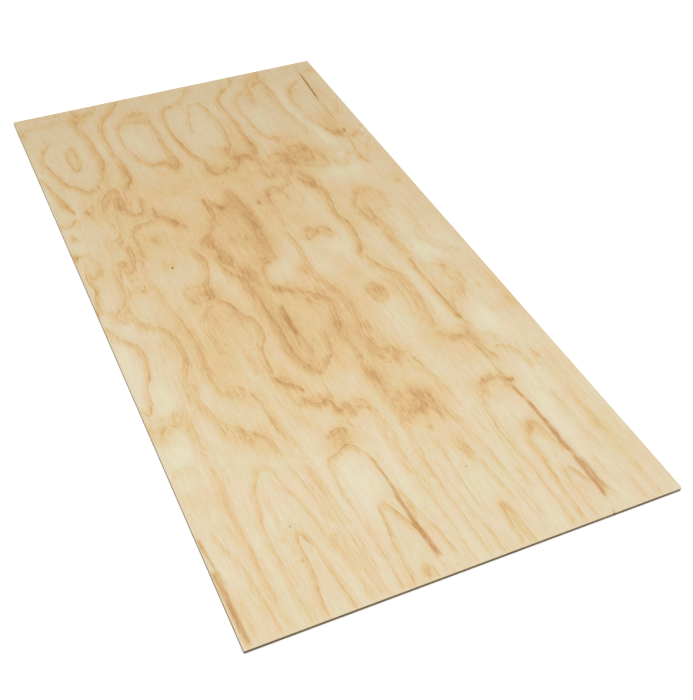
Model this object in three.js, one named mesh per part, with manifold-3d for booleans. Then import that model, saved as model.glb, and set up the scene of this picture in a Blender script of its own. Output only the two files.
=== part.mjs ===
// A full sheet of rotary-cut pine plywood, lying flat with its better face up.
// Millimetres, +Z up. The origin is the middle of the underside, and +Y runs along the face grain.
import * as THREE from 'three';
import { mergeVertices } from 'three/addons/utils/BufferGeometryUtils.js';
import Module from 'manifold-3d';

const wasm = await Module();
wasm.setup();

// The panel.
const sheetLength = 2440;
const sheetWidth = 1220;
const sheetThickness = 9;
const facePly = 1.5; // the outer veneer, which is as deep as any damage to the face goes
const arrisEase = 0.5; // the sharp edge taken off by sanding, all round both faces
const cornerRadius = 2; // a sawn corner, handled a little
const knockedCornerRadius = 9; // the near right corner, which has been dropped on

// The open split in the face veneer, along the grain near the far right corner.
const splitFromSide = 77; // from the right edge to the split's middle
const splitFromEnd = 197; // from the far edge to the split's middle
const splitLength = 225;
const splitWidth = 3.5; // at its widest
const splitDrift = 12; // how far the near end stands to the left of the far end
const splitFloorShare = 0.4; // width of the split's floor over its mouth

// The pit of a pin knot that has fallen out of the face veneer.
const knotFromSide = 283; // from the left edge
const knotFromEnd = 1068; // from the far edge
const knotDiameter = 5;
const knotLength = 7;

// A chip out of the near edge, where a small knot meets the saw cut.
const chipFromSide = 213; // from the right edge
const chipWidth = 8;
const chipReach = 1.6; // from the near edge inwards

const overcut = 1; // how far a cutter runs out past the surface it opens
const arcPoints = 5;
const toolPoints = 10;

const pine = new THREE.MeshStandardMaterial({ color: 0xe2cda4, roughness: 0.72, metalness: 0 });

// The outline seen from above, with its corners rounded.
function panelOutline() {
  const right = sheetWidth / 2;
  const far = sheetLength / 2;
  const outline = new THREE.Shape();
  outline.moveTo(-right + cornerRadius, -far);
  outline.absarc(right - knockedCornerRadius, -far + knockedCornerRadius, knockedCornerRadius, -Math.PI / 2, 0);
  outline.absarc(right - cornerRadius, far - cornerRadius, cornerRadius, 0, Math.PI / 2);
  outline.absarc(-right + cornerRadius, far - cornerRadius, cornerRadius, Math.PI / 2, Math.PI);
  outline.absarc(-right + cornerRadius, -far + cornerRadius, cornerRadius, Math.PI, Math.PI * 1.5);
  return outline;
}

// The panel with eased arrises on both faces.
function panelBlank() {
  const blank = new THREE.ExtrudeGeometry(panelOutline(), {
    depth: sheetThickness - 2 * arrisEase,
    curveSegments: arcPoints,
    bevelEnabled: true,
    bevelThickness: arrisEase,
    bevelSize: arrisEase,
    bevelOffset: -arrisEase,
    bevelSegments: 3,
  });
  return blank.translate(0, 0, arrisEase);
}

// A cutter that stands upright with an oval mouth, sunk as deep as the face veneer.
// Its floor is narrower than its mouth, by floorShare across the grain.
function ovalCutter(width, length, floorShare) {
  const mouth = new THREE.Shape();
  mouth.absellipse(0, 0, width / 2, length / 2, 0, Math.PI * 2);
  const cutter = new THREE.ExtrudeGeometry(mouth, {
    depth: facePly + overcut,
    curveSegments: toolPoints,
    bevelEnabled: false,
  });
  const position = cutter.attributes.position;
  for (let i = 0; i < position.count; i += 1) {
    if (position.getZ(i) < facePly) {
      position.setX(i, position.getX(i) * floorShare);
    }
  }
  return cutter.translate(0, 0, sheetThickness - facePly);
}

function splitCutter() {
  const lean = Math.atan(splitDrift / splitLength);
  return ovalCutter(splitWidth, splitLength, splitFloorShare)
    .rotateZ(-lean)
    .translate(sheetWidth / 2 - splitFromSide, sheetLength / 2 - splitFromEnd, 0);
}

function knotCutter() {
  return ovalCutter(knotDiameter, knotLength, 1)
    .translate(-sheetWidth / 2 + knotFromSide, sheetLength / 2 - knotFromEnd, 0);
}

function chipCutter() {
  return ovalCutter(chipWidth, 2 * chipReach, splitFloorShare)
    .translate(sheetWidth / 2 - chipFromSide, -sheetLength / 2, 0);
}

// A closed geometry as a solid that can be cut.
function toSolid(geometry) {
  const bare = geometry.clone();
  bare.deleteAttribute('normal');
  bare.deleteAttribute('uv');
  const merged = mergeVertices(bare);
  return new wasm.Manifold(new wasm.Mesh({
    numProp: 3,
    vertProperties: new Float32Array(merged.attributes.position.array),
    triVerts: new Uint32Array(merged.index.array),
  }));
}

function toGeometry(solid) {
  const mesh = solid.getMesh();
  const geometry = new THREE.BufferGeometry();
  geometry.setAttribute('position', new THREE.BufferAttribute(mesh.vertProperties, 3));
  geometry.setIndex(new THREE.BufferAttribute(mesh.triVerts, 1));
  geometry.computeVertexNormals();
  return geometry;
}

function plywoodSheet() {
  let panel = toSolid(panelBlank());
  for (const cutter of [splitCutter(), knotCutter(), chipCutter()]) {
    panel = panel.subtract(toSolid(cutter));
  }
  const sheet = new THREE.Mesh(toGeometry(panel), pine);
  sheet.name = 'plywood_sheet';
  return sheet;
}

const part = new THREE.Group();
part.add(plywoodSheet());

export default part;
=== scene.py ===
# A full sheet of rotary-cut pine plywood, lying flat with its better face up.
import math
from functools import partial

import bmesh
import bpy
import numpy as np
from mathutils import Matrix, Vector
from mathutils.geometry import delaunay_2d_cdt


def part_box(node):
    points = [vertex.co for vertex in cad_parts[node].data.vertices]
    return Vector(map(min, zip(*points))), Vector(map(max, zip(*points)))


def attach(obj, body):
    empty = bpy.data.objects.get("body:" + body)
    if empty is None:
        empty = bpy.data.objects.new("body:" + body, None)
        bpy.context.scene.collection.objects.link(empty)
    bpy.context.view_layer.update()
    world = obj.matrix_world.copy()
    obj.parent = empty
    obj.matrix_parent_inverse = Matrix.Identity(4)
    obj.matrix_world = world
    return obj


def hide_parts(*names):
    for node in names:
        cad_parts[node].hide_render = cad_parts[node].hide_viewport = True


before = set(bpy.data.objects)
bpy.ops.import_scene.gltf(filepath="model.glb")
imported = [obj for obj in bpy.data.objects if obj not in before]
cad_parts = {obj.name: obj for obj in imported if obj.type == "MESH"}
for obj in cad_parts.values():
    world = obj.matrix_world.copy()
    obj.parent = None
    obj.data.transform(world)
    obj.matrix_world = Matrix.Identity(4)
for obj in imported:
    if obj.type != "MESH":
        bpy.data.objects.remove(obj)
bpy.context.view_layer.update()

lowCorner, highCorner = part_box("plywood_sheet")
millimetre = 0.001       # in metres
metre = 1000.0           # in millimetres
sheetWidth = (highCorner.x - lowCorner.x) / millimetre
sheetLength = (highCorner.y - lowCorner.y) / millimetre
sheetThickness = (highCorner.z - lowCorner.z) / millimetre
rightEdge = sheetWidth / 2
farEdge = sheetLength / 2
cornerSigns = ((-1, -1), (1, -1), (1, 1), (-1, 1))      # counter-clockwise from the near left corner


# sRGB hex to linear, as Blender wants it
def linearColour(hexColour):
    channels = [int(hexColour[i:i + 2], 16) / 255 for i in (1, 3, 5)]
    linear = [c / 12.92 if c <= 0.04045 else ((c + 0.055) / 1.055) ** 2.4 for c in channels]
    return (*linear, 1.0)


# The studio: view, floor and light
studio = {
    "cameraPlace": (-1.0047, -2.4313, 2.1714),
    "cameraTurn": (46.3, 0.11, -22.81),    # degrees
    "lens": 54.56,
    "shiftX": 0.0829,
    "floorColour": "#f4f4f4",
    "floorReach": 60.0,                    # metres across
    "floorOverlap": 8.0,                   # mm of floor under the sheet's edges; it is open inside them
    "floorGlow": 0.36,                     # lifts the bare floor to white, and leaves the shadow
    "skyStrength": 0.45,
    "sunStrength": 0.72,
    "sunAngle": 50.0,                      # degrees across, for a soft edge
    "sunTurn": (-24.0, 16.0, 0.0),
    "softboxPower": 74.0,
    "softboxSize": 4.0,
    "softboxPlace": (-0.5, -0.9, 4.4),
}


# Adds a node. Values without a name go to its inputs in order, and a named one to the input or setting
# of that name. A node stands for its own output.
def addNode(tree, kind, *values, **named):
    node = tree.nodes.new("ShaderNode" + kind)
    inputs = {}
    for name, value in named.items():
        if name in node.inputs:
            inputs[name] = value
        else:
            setattr(node, name, value)
    usable = [i for i, socket in enumerate(node.inputs) if socket.enabled]
    inputs.update(zip(usable, values))
    for name, value in inputs.items():
        if isinstance(value, bpy.types.Node):
            value = next(socket for socket in value.outputs if socket.enabled)
        if isinstance(value, bpy.types.NodeSocket):
            tree.links.new(value, node.inputs[name])
        else:
            node.inputs[name].default_value = linearColour(value) if isinstance(value, str) else value
    return node


# Settings that many nodes share
smoothly = {"interpolation_type": "SMOOTHSTEP"}
inColour = {"data_type": "RGBA"}


def newMaterial(name):
    material = bpy.data.materials.new(name)
    material.use_nodes = True
    material.node_tree.nodes.clear()
    return material, material.node_tree


def addObject(name, data):
    made = bpy.data.objects.new(name, data)
    bpy.context.scene.collection.objects.link(made)
    return made


def buildStudio():
    scene = bpy.context.scene
    scene.view_settings.view_transform = "Standard"

    cameraData = bpy.data.cameras.new("camera")
    cameraData.lens = studio["lens"]
    cameraData.sensor_width = 36.0
    cameraData.shift_x = studio["shiftX"]
    camera = addObject("camera", cameraData)
    camera.location = studio["cameraPlace"]
    camera.rotation_euler = [math.radians(a) for a in studio["cameraTurn"]]
    scene.camera = camera

    world = bpy.data.worlds.new("studioSky")
    world.use_nodes = True
    tree = world.node_tree
    tree.nodes.clear()
    rays = addNode(tree, "LightPath").outputs
    seen = addNode(tree, "Math", rays["Is Camera Ray"], rays["Is Glossy Ray"], operation="MAXIMUM")
    skyLight = addNode(tree, "Background", "#ffffff", studio["skyStrength"])
    skySeen = addNode(tree, "Background", "#ffffff", 1.0)
    addNode(tree, "OutputWorld", addNode(tree, "MixShader", seen, skyLight, skySeen))
    scene.world = world

    lampData = bpy.data.lights.new("softbox", "AREA")
    lampData.shape = "DISK"
    lampData.size = studio["softboxSize"]
    lampData.energy = studio["softboxPower"]
    lamp = addObject("softbox", lampData)
    lamp.location = studio["softboxPlace"]

    sunData = bpy.data.lights.new("highWindow", "SUN")
    sunData.energy = studio["sunStrength"]
    sunData.angle = math.radians(studio["sunAngle"])
    sun = addObject("highWindow", sunData)
    sun.rotation_euler = [math.radians(a) for a in studio["sunTurn"]]

    reach = studio["floorReach"] / 2
    opening = [(edge - studio["floorOverlap"]) * millimetre for edge in (rightEdge, farEdge)]
    corners = [(sx * x, sy * y, 0) for x, y in ((reach, reach), opening) for sx, sy in cornerSigns]
    mesh = bpy.data.meshes.new("floor")
    mesh.from_pydata(corners, [], [(i, (i + 1) % 4, (i + 1) % 4 + 4, i + 4) for i in range(4)])
    floor = addObject("floor", mesh)
    material, tree = newMaterial("studioFloor")
    matt = addNode(tree, "BsdfDiffuse", studio["floorColour"])
    cameraRay = addNode(tree, "LightPath").outputs["Is Camera Ray"]
    glow = addNode(tree, "Math", cameraRay, studio["floorGlow"], operation="MULTIPLY")
    lift = addNode(tree, "Emission", Strength=glow)
    addNode(tree, "OutputMaterial", addNode(tree, "AddShader", matt, lift))
    mesh.materials.append(material)


buildStudio()
print("studio: camera, sky, softbox and floor")


# How each mark of the figure is laid down, before the veneer's vertices look it up
painting = {
    "gridSize": (710, 540),        # places across and along that the marks are worked out on
    "margin": (20.0, 30.0),        # mm that the marks run on past the sheet
    "pathStep": 4.0,               # mm between points along a smoothed line
    "haloSize": 1.0,               # how softly a line's halo falls away, as a share of its width
    "haloReach": 3.2,              # how far it goes
    "haloEnd": 0.3,                # and the last share of that, over which it ends
    "streakSize": 0.50,            # half width of a resin streak's solid middle, as a share of its width
    "streakShare": 0.85,           # how much of its depth is in that middle
    "taper": (22.0, 0.4),          # mm over which a line fades at each end, and the most of its length
    "endDepth": 0.2,               # what is left of a line's depth at its very end
    "patchReach": 2.4,             # how far a soft patch goes, as a share of its half width
    "patchFall": 1.1,              # how quickly it falls away
    "ringReach": 90.0,             # mm from a latewood line that its finer neighbours reach
    # mm that the fibres shift the marks, then the cells of that shift: mm across and along, share
    "waverAcross": (2.6, (24, 60, 1.0), (12, 34, 0.6)),
    "waverAlong": (5.5, (9, 120, 1.0), (26, 60, 0.8)),
    "seed": 5,
}


# The marks were placed on a sheet that bowed, seen from one side, where a raised place looks
# further off.
bow = {
    "along": 16.7,                 # mm that the middle stood over the ends
    "across": 3.4,                 # mm that it stood over the long sides
    "farEnd": -3.6,                # mm that the far end stood over the middle
    "eye": (-1005.0, -2431.0, 2171.0),
    "shift": (5.9, 2.5),           # mm to the right and towards the far end
    "spread": 3.1,                 # mm wider to each side
}


# How far each mark moves to the right and towards the far end, in mm, where the sheet lies flat
def layFlat(x, y):
    u, v = x / rightEdge - 1, 1 - y / farEdge
    lift = bow["along"] * (1 - v * v) + bow["across"] * (1 - u * u) + bow["farEnd"] * v
    eyeX, eyeY, eyeHeight = bow["eye"]
    right = bow["shift"][0] + bow["spread"] * u - lift * (x - rightEdge - eyeX) / eyeHeight
    far = bow["shift"][1] - lift * (farEdge - y - eyeY) / eyeHeight
    return right, far


# A Catmull-Rom curve through the points
def smoothPath(points):
    if len(points) == 2:
        points = np.array([points[0], points.mean(0), points[1]])
    ends = np.vstack([2 * points[0] - points[1], points, 2 * points[-1] - points[-2]])
    pieces = []
    for i in range(1, len(ends) - 2):
        a, b, c, d = ends[i - 1:i + 3]
        count = max(2, int(np.hypot(*(c - b)) / painting["pathStep"]))
        t = np.arange(count)[:, None] / count
        pieces.append(0.5 * (2 * b + (c - a) * t + (2 * a - 5 * b + 4 * c - d) * t ** 2
                             + (3 * b - a - 3 * c + d) * t ** 3))
    pieces.append(points[-1:])
    return np.vstack(pieces)


# Lays one value over another so that the sum never passes 1
def layOver(block, value):
    block[:] = 1 - (1 - block) * (1 - np.clip(value, 0, 1))


# The rows and columns of a grid that hold some points and what lies within reach of them
def gridWindow(xs, ys, points, reach):
    low, high = np.min(points, axis=0) - reach, np.max(points, axis=0) + reach
    columns, rows = (slice(*np.searchsorted(places, ends)) for places, *ends in zip((xs, ys), low, high))
    return rows, columns


# The signed distance to a line within reach, and how far the line has faded in at the nearest point
def measureLine(xs, ys, points, reach):
    path = smoothPath(np.array(points, float).reshape(-1, 2))
    legs = np.diff(path, axis=0)
    lengths = np.hypot(*legs.T) + 1e-6
    arc = np.concatenate([[0], np.cumsum(lengths)])
    where = gridWindow(xs, ys, path, reach)
    ys, xs = ys[where[0]], xs[where[1]]        # from here on, only the places within reach
    nearest = np.full((len(ys), len(xs)), np.inf)
    along = np.zeros_like(nearest)
    side = np.ones_like(nearest)
    for i, leg in enumerate(legs):
        window = gridWindow(xs, ys, path[i:i + 2], reach)
        gx = xs[window[1]] - path[i, 0]
        gy = ys[window[0], None] - path[i, 1]
        t = np.clip((gx * leg[0] + gy * leg[1]) / lengths[i] ** 2, 0, 1)
        distance = np.hypot(gx - t * leg[0], gy - t * leg[1])
        closer = distance < nearest[window]
        found = (distance, arc[i] + t * lengths[i], np.where(leg[0] * gy - leg[1] * gx < 0, -1, 1))
        for kept, values in zip((nearest, along, side), found):
            kept[window][closer] = values[closer]
    taper, most = painting["taper"]
    fade = np.clip(np.minimum(along, arc[-1] - along) / min(taper, arc[-1] * most), 0, 1)
    fade = painting["endDepth"] + (1 - painting["endDepth"]) * fade * fade * (3 - 2 * fade)
    return where, nearest * side, fade


# Lays a line into a field: a share of its depth in a solid middle, the rest falling away over the halo
def paintLine(field, xs, ys, width, depth, points, coreShare):
    reach = width * painting["haloReach"]
    where, distance, fade = measureLine(xs, ys, points, reach)
    nearest = np.abs(distance)
    core = np.exp(-0.5 * (nearest / (width * painting["streakSize"])) ** 4)
    ending = np.clip((reach - nearest) / (painting["haloEnd"] * reach), 0, 1)
    halo = np.exp(-nearest / (width * painting["haloSize"])) * ending
    layOver(field[where], depth * fade * (coreShare * core + (1 - coreShare) * halo))


# A soft patch: where it is in the grid, and its values there, 1 in its middle
def patchValue(xs, ys, x, y, halfWidth, halfLength):
    reach = painting["patchReach"] * np.array([halfWidth, halfLength])
    where = gridWindow(xs, ys, [(x, y)], reach)
    gx = (xs[where[1]] - x) / halfWidth
    gy = (ys[where[0], None] - y) / halfLength
    return where, np.exp(-painting["patchFall"] * (gx ** 2 + gy ** 2))


# Between the places of a grid, u across and v along, in a straight line or with an eased start and end
def between(grid, u, v, eased):
    i, j = u.astype(int), v.astype(int)
    shareU, shareV = u - i, v - j
    if eased:
        shareU, shareV = (share * share * (3 - 2 * share) for share in (shareU, shareV))
    return (grid[j, i] * (1 - shareU) * (1 - shareV) + grid[j, i + 1] * shareU * (1 - shareV)
            + grid[j + 1, i] * (1 - shareU) * shareV + grid[j + 1, i + 1] * shareU * shareV)


# Reads a field at x from the left edge and y from the far edge
def lookUp(field, xs, ys, x, y):
    u = np.clip((x - xs[0]) / (xs[1] - xs[0]), 0, len(xs) - 1.001)
    v = np.clip((y - ys[0]) / (ys[1] - ys[0]), 0, len(ys) - 1.001)
    return between(field, u, v, False)


# Smooth random values from -1 to 1, one cell of noise being cellX by cellY mm
def drift(random, x, y, cellX, cellY):
    cells = random.uniform(-1, 1, (int(sheetLength / cellY) + 5, int(sheetWidth / cellX) + 5))
    return between(cells, np.clip(x, 0, sheetWidth) / cellX + 1, np.clip(y, 0, sheetLength) / cellY + 1, True)


# The figure of the face: places in mm from the left edge and from the far edge, depths in percent.
# Brown lines of latewood: width, depth, then the points. Seen along it, a line's sharp side is on its right
# where it is drawn towards the near end.
latewoodLines = [
    (9, 15, 0,10, 60,12, 100,22, 130,26), (8, 25, 152,0, 155,25, 148,50), (14, 45, 4,95, 10,125, 8,155),
    (16, 55, 94,193, 76,215, 60,241),
    (11, 70, 72,212, 55,242, 43,275, 39,305, 42,340, 49,370, 58,400, 68,430, 78,458, 90,482, 108,500,
     122,520, 140,542, 152,546, 165,534, 176,515),
    (13, 75, 133,262, 142,256, 152,262, 161,285, 163,315, 162,345, 158,378, 148,405, 141,408, 134,392,
     129,360, 127,325, 128,290, 133,262),
    (11, 50, 234,78, 226,60, 220,30, 222,0), (16, 50, 239,80, 255,56, 281,46, 307,53),
    (12, 35, 310,0, 308,25, 303,45),
    (16, 65, 208,75, 213,115, 214,150, 222,180, 229,205, 233,240, 235,275, 235,300, 241,322, 241,350,
     240,385, 235,412, 226,440, 214,466, 204,488, 190,506),
    (14, 85, 400,0, 388,35, 370,60, 350,82, 335,96, 320,113, 307,135, 297,157, 290,185, 286,220, 285,260,
     287,300, 288,340, 292,370, 300,400, 305,430, 307,465, 307,500, 300,532, 286,558, 277,582),
    (11, 45, 289,385, 290,430, 292,480, 295,522), (9, 40, 279,200, 276,240, 278,280),
    (18, 45, 402,140, 415,120, 440,113, 461,125, 468,147),
    (11, 50, 397,160, 415,170, 440,181, 453,200, 460,223),
    (12, 75, 592,113, 570,123, 551,136, 540,155, 535,180, 531,215, 529,250, 530,290, 533,330, 538,370,
     545,410, 552,440, 560,465, 568,488, 578,512, 582,545, 584,572, 590,598, 600,613, 618,616),
    (14, 35, 524,175, 519,240, 520,305, 524,350),
    (15, 50, 592,113, 612,101, 635,82, 655,60, 672,35, 688,10),
    (10, 45, 668,141, 648,153, 633,175, 626,210, 617,240, 610,270, 604,302, 602,345),
    (11, 55, 668,140, 690,142, 700,168, 704,205, 710,242, 715,275, 717,312, 718,345, 716,385, 712,420,
     704,447, 695,465, 684,490, 674,512),
    (14, 80, 690,470, 685,488), (9, 28, 746,300, 744,350, 740,400), (8, 30, 625,415, 635,445, 640,470),
    (14, 90, 833,72, 820,82, 805,100, 790,115, 775,135, 766,160, 762,190, 763,215, 770,240, 773,265,
     769,290, 774,315, 777,345, 775,375, 774,405, 775,440, 777,470, 778,498, 774,530, 770,556),
    (11, 55, 833,72, 845,55, 858,35, 868,15, 875,0),
    (12, 45, 936,40, 925,60, 912,85, 908,112, 905,140, 901,170, 897,200, 889,225),
    (12, 45, 978,78, 950,90, 930,104, 912,116),
    (13, 50, 884,140, 862,140, 846,155, 832,180, 823,210, 820,250, 822,290, 828,330, 832,370, 836,400,
     842,430, 852,453, 870,466, 892,474, 908,488),
    (10, 45, 833,388, 838,412, 845,432),
    (15, 50, 978,0, 972,40, 972,75, 978,110, 978,150, 980,190, 982,230, 978,270, 981,310, 990,350, 998,390,
     1005,425, 1010,462, 1004,500),
    (8, 30, 960,9, 953,36, 944,61), (10, 35, 1153,101, 1165,87, 1183,71, 1205,57, 1223,47),
    (10, 30, 1203,310, 1186,350, 1175,385, 1164,425), (8, 30, 1190,70, 1200,115),
    (11, 90, 5,395, 15,440, 25,480, 33,520, 42,560, 48,600, 60,622, 66,640, 60,662),
    (12, 80, 105,645, 108,662, 111,680), (9, 35, 120,610, 135,625, 132,650),
    (12, 55, 18,772, 30,786, 42,796), (12, 55, 6,870, 10,895, 8,915), (9, 35, 48,868, 52,892),
    (9, 45, 418,655, 418,668), (12, 55, 600,614, 620,610, 632,596, 645,590, 656,600),
    (11, 55, 690,510, 696,535, 700,550, 697,568, 689,586, 676,602, 660,612, 645,613),
    (12, 60, 694,556, 706,540, 722,535, 738,543, 746,563, 750,586, 749,600),
    (8, 35, 705,566, 716,558, 735,558, 746,570), (9, 40, 868,480, 885,500, 893,530, 895,560, 893,592),
    (8, 30, 850,520, 860,542, 862,565), (10, 35, 940,560, 950,582, 956,604),
    (10, 40, 1118,556, 1108,528, 1095,500), (11, 45, 1218,512, 1195,535, 1170,562, 1150,578, 1134,590),
    (8, 35, 1214,560, 1190,580, 1172,596), (8, 30, 1215,590, 1200,610, 1188,640),
    (8, 30, 1115,654, 1090,672, 1067,694),
    (11, 50, 217,909, 214,869, 219,832, 231,804, 255,794, 286,789, 314,780),
    (13, 60, 309,776, 335,770, 350,784, 360,800, 371,820, 380,835, 386,848, 398,860),
    (9, 45, 215,980, 220,940, 219,905), (8, 35, 222,845, 220,885, 221,925),
    (12, 95, 8,1200, 8,1152, 12,1122, 20,1096, 28,1070, 25,1050, 18,1020, 20,990, 28,960),
    (13, 50, 130,985, 120,1012, 112,1042, 106,1080, 105,1110, 98,1140, 88,1160, 72,1176, 55,1190, 50,1207,
     57,1226, 75,1241, 91,1251, 100,1266, 109,1282, 122,1295, 140,1304, 160,1312, 175,1326, 183,1346,
     190,1372, 193,1402, 193,1440, 187,1480, 174,1518, 161,1558, 155,1600, 156,1632, 165,1662, 173,1692,
     178,1722, 185,1752, 191,1782, 202,1802),
    (10, 45, 100,1156, 97,1188, 100,1220, 107,1250, 120,1274, 139,1282, 156,1290),
    (13, 36, 203,1100, 205,1150, 207,1190, 215,1222, 222,1262, 228,1302, 230,1342, 235,1382, 240,1422,
     240,1462, 234,1502, 230,1550, 228,1598, 235,1634, 250,1655, 270,1666, 290,1662, 305,1652),
    (9, 20, 245,1330, 248,1380, 252,1440, 250,1490),
    (12, 55, 375,965, 380,1000, 388,1026, 395,1050, 393,1072, 388,1092, 384,1114, 375,1138, 365,1156,
     358,1182, 356,1210, 362,1236, 373,1256, 386,1276, 398,1300, 406,1328, 416,1350, 428,1372, 436,1400,
     441,1430, 440,1458, 428,1482, 415,1502, 408,1530, 405,1562, 402,1600, 399,1630),
    (9, 25, 400,1305, 402,1340, 404,1372, 412,1405), (6, 60, 365,1156, 350,1166, 335,1176),
    (6, 70, 333,1250, 338,1241, 352,1238, 366,1244),
    (16, 62, 430,1032, 438,1060, 431,1098, 438,1130, 450,1150, 465,1165, 475,1182, 480,1206, 479,1232,
     482,1262, 485,1300, 487,1340, 488,1380, 492,1420, 494,1450, 491,1485, 488,1520, 490,1560, 496,1600,
     506,1626, 516,1650, 529,1670, 539,1682),
    (12, 62, 601,1604, 586,1620, 571,1636, 556,1656, 543,1676),
    (12, 22, 592,705, 589,742, 592,785, 596,820, 600,850, 606,882, 611,915, 608,952, 603,990, 600,1030,
     599,1060, 604,1080, 600,1106),
    (9, 60, 545,1232, 547,1190, 553,1160, 562,1140, 576,1134, 599,1144),
    (9, 45, 570,1092, 564,1118, 560,1138),
    (8, 40, 540,1150, 545,1200, 541,1240, 548,1270, 560,1285, 576,1291, 591,1310, 606,1332),
    (14, 35, 553,1250, 570,1270, 592,1290),
    (16, 45, 600,1292, 620,1311, 641,1330, 661,1350, 680,1370, 690,1396, 689,1420),
    (12, 50, 689,1402, 684,1432, 678,1462, 672,1490, 663,1514, 648,1526),
    (9, 35, 622,1340, 632,1366, 640,1390), (11, 50, 745,761, 727,786, 716,816, 712,851, 711,883, 713,916),
    (8, 30, 709,915, 706,960, 700,1000),
    (10, 40, 697,1000, 697,1030, 700,1062, 705,1100, 703,1140, 702,1180, 703,1220, 704,1260, 710,1290,
     718,1320, 726,1352, 733,1384, 738,1412, 738,1445, 733,1480, 725,1520, 718,1560, 716,1600, 724,1636,
     735,1664),
    (8, 60, 750,1040, 762,1026, 780,1022, 792,1034, 797,1050, 792,1064, 776,1071, 757,1080, 748,1070,
     747,1050, 752,1038),
    (6, 45, 765,1048, 774,1040, 782,1050, 774,1058),
    (8, 65, 795,1040, 810,1033, 825,1038, 833,1052, 838,1072, 840,1094, 834,1106),
    (7, 60, 803,1058, 815,1066, 820,1084, 825,1100, 833,1106), (10, 40, 838,746, 820,755, 801,770, 788,786),
    (13, 65, 853,735, 861,758, 870,774, 881,788, 891,806, 901,822, 908,846, 912,872, 909,902, 905,930,
     897,960, 896,1000, 903,1030, 908,1056, 908,1082, 905,1112, 902,1140, 897,1168, 888,1192),
    (8, 20, 865,1180, 871,1210, 866,1242),
    (12, 38, 1012,878, 1001,918, 986,944, 972,970, 972,1002, 982,1032, 990,1062, 998,1090, 1010,1102),
    (8, 25, 1091,918, 1086,960, 1082,1002),
    (13, 45, 1011,960, 1011,1000, 1009,1040, 1014,1080, 1020,1110, 1025,1142, 1021,1182, 1021,1222,
     1023,1262, 1020,1292),
    (9, 25, 1000,1110, 998,1150, 998,1202, 999,1262),
    (9, 80, 1016,1280, 1012,1320, 1010,1362, 1010,1402, 1012,1442, 1015,1500, 1017,1560, 1020,1606,
     1024,1630),
    (8, 50, 1024,1630, 1034,1652, 1040,1672), (7, 25, 1010,1640, 1014,1700, 1020,1752),
    (11, 24, 822,1365, 848,1369, 868,1398, 867,1436, 850,1460, 822,1451, 814,1415, 817,1382, 824,1364),
    (13, 22, 1143,1040, 1131,1080, 1128,1120, 1120,1160, 1110,1200, 1113,1240, 1130,1265, 1150,1284,
     1168,1302),
    (9, 40, 1145,1168, 1160,1180), (8, 25, 1133,1178, 1121,1215, 1129,1248, 1149,1268),
    (9, 28, 1100,1180, 1093,1220, 1105,1262, 1130,1300, 1162,1322),
    (11, 75, 3,1232, 15,1270, 25,1295, 36,1316, 50,1331, 63,1345, 73,1361, 78,1382, 79,1402, 79,1430,
     75,1462, 71,1490, 61,1510, 51,1526, 45,1552, 41,1582, 37,1606, 31,1628, 22,1640, 12,1632, 8,1610),
    (10, 50, 4,1668, 10,1702, 15,1740, 22,1758, 30,1740, 38,1716, 46,1694),
    (12, 30, 120,1625, 122,1662, 116,1692, 109,1722, 108,1762, 113,1800, 122,1832),
    (8, 35, 45,1680, 67,1668, 93,1676, 103,1700),
    (11, 42, 250,1799, 266,1820, 281,1834, 294,1850, 302,1880, 307,1910, 310,1940),
    (9, 40, 273,1624, 295,1642, 317,1658),
    (11, 45, 346,1922, 342,1882, 335,1842, 329,1802, 328,1762, 325,1722, 318,1692, 308,1658),
    (8, 30, 330,1660, 340,1702, 340,1745), (7, 45, 362,1510, 365,1560, 360,1622),
    (10, 90, 398,1628, 402,1654, 412,1666, 426,1684, 441,1700, 451,1716, 449,1735),
    (13, 70, 449,1735, 444,1752, 451,1766, 466,1779, 482,1786, 497,1778, 505,1790, 512,1811, 518,1834,
     526,1850),
    (9, 50, 418,1640, 434,1660, 440,1682), (9, 35, 548,1798, 547,1826, 552,1846),
    (10, 45, 556,1846, 580,1845, 596,1860, 605,1890, 610,1922, 606,1962),
    (10, 40, 573,1801, 593,1825, 605,1855, 613,1893),
    (13, 55, 444,1930, 455,1906, 475,1896, 496,1901, 506,1926),
    (10, 15, 8,1895, 20,1871, 40,1860, 65,1869, 79,1890, 85,1922),
    (11, 38, 661,1538, 664,1600, 666,1640, 663,1672, 658,1702, 661,1742, 676,1772),
    (12, 80, 667,1642, 668,1660, 666,1680), (16, 15, 728,1668, 760,1661, 788,1680, 802,1702),
    (12, 32, 802,1700, 810,1740, 816,1772, 822,1802, 830,1852, 835,1902, 841,1952),
    (10, 35, 923,1635, 933,1667, 948,1685, 964,1697),
    (13, 38, 945,1684, 970,1686, 994,1690, 1005,1706, 1012,1742, 1018,1780, 1028,1800, 1031,1822),
    (11, 30, 1110,1440, 1100,1480, 1086,1520, 1068,1552), (8, 30, 1150,1490, 1154,1522),
    (9, 30, 1045,1702, 1065,1720, 1080,1736, 1091,1752),
    (11, 38, 1043,1794, 1058,1783, 1078,1779, 1093,1798, 1104,1830, 1113,1870, 1119,1910),
    (10, 28, 1140,1790, 1142,1842, 1147,1882),
    (12, 30, 922,1952, 927,1918, 935,1892, 950,1880, 970,1884, 985,1876, 1000,1890, 1011,1904, 1023,1914),
    (8, 40, 40,2085, 50,2120, 56,2152, 66,2182, 75,2212, 82,2252, 86,2302, 91,2352, 95,2402, 98,2440),
    (6, 20, 87,2040, 88,2100, 95,2160),
    (22, 26, 120,1920, 115,1970, 108,2012, 108,2062, 112,2112, 112,2162, 115,2202, 115,2252, 118,2302,
     120,2352, 123,2440),
    (9, 46, 227,1935, 215,1970, 201,1990, 190,2016, 185,2046, 178,2082, 171,2112, 168,2152, 165,2200,
     168,2242, 170,2282, 168,2332, 170,2402, 173,2440),
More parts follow.
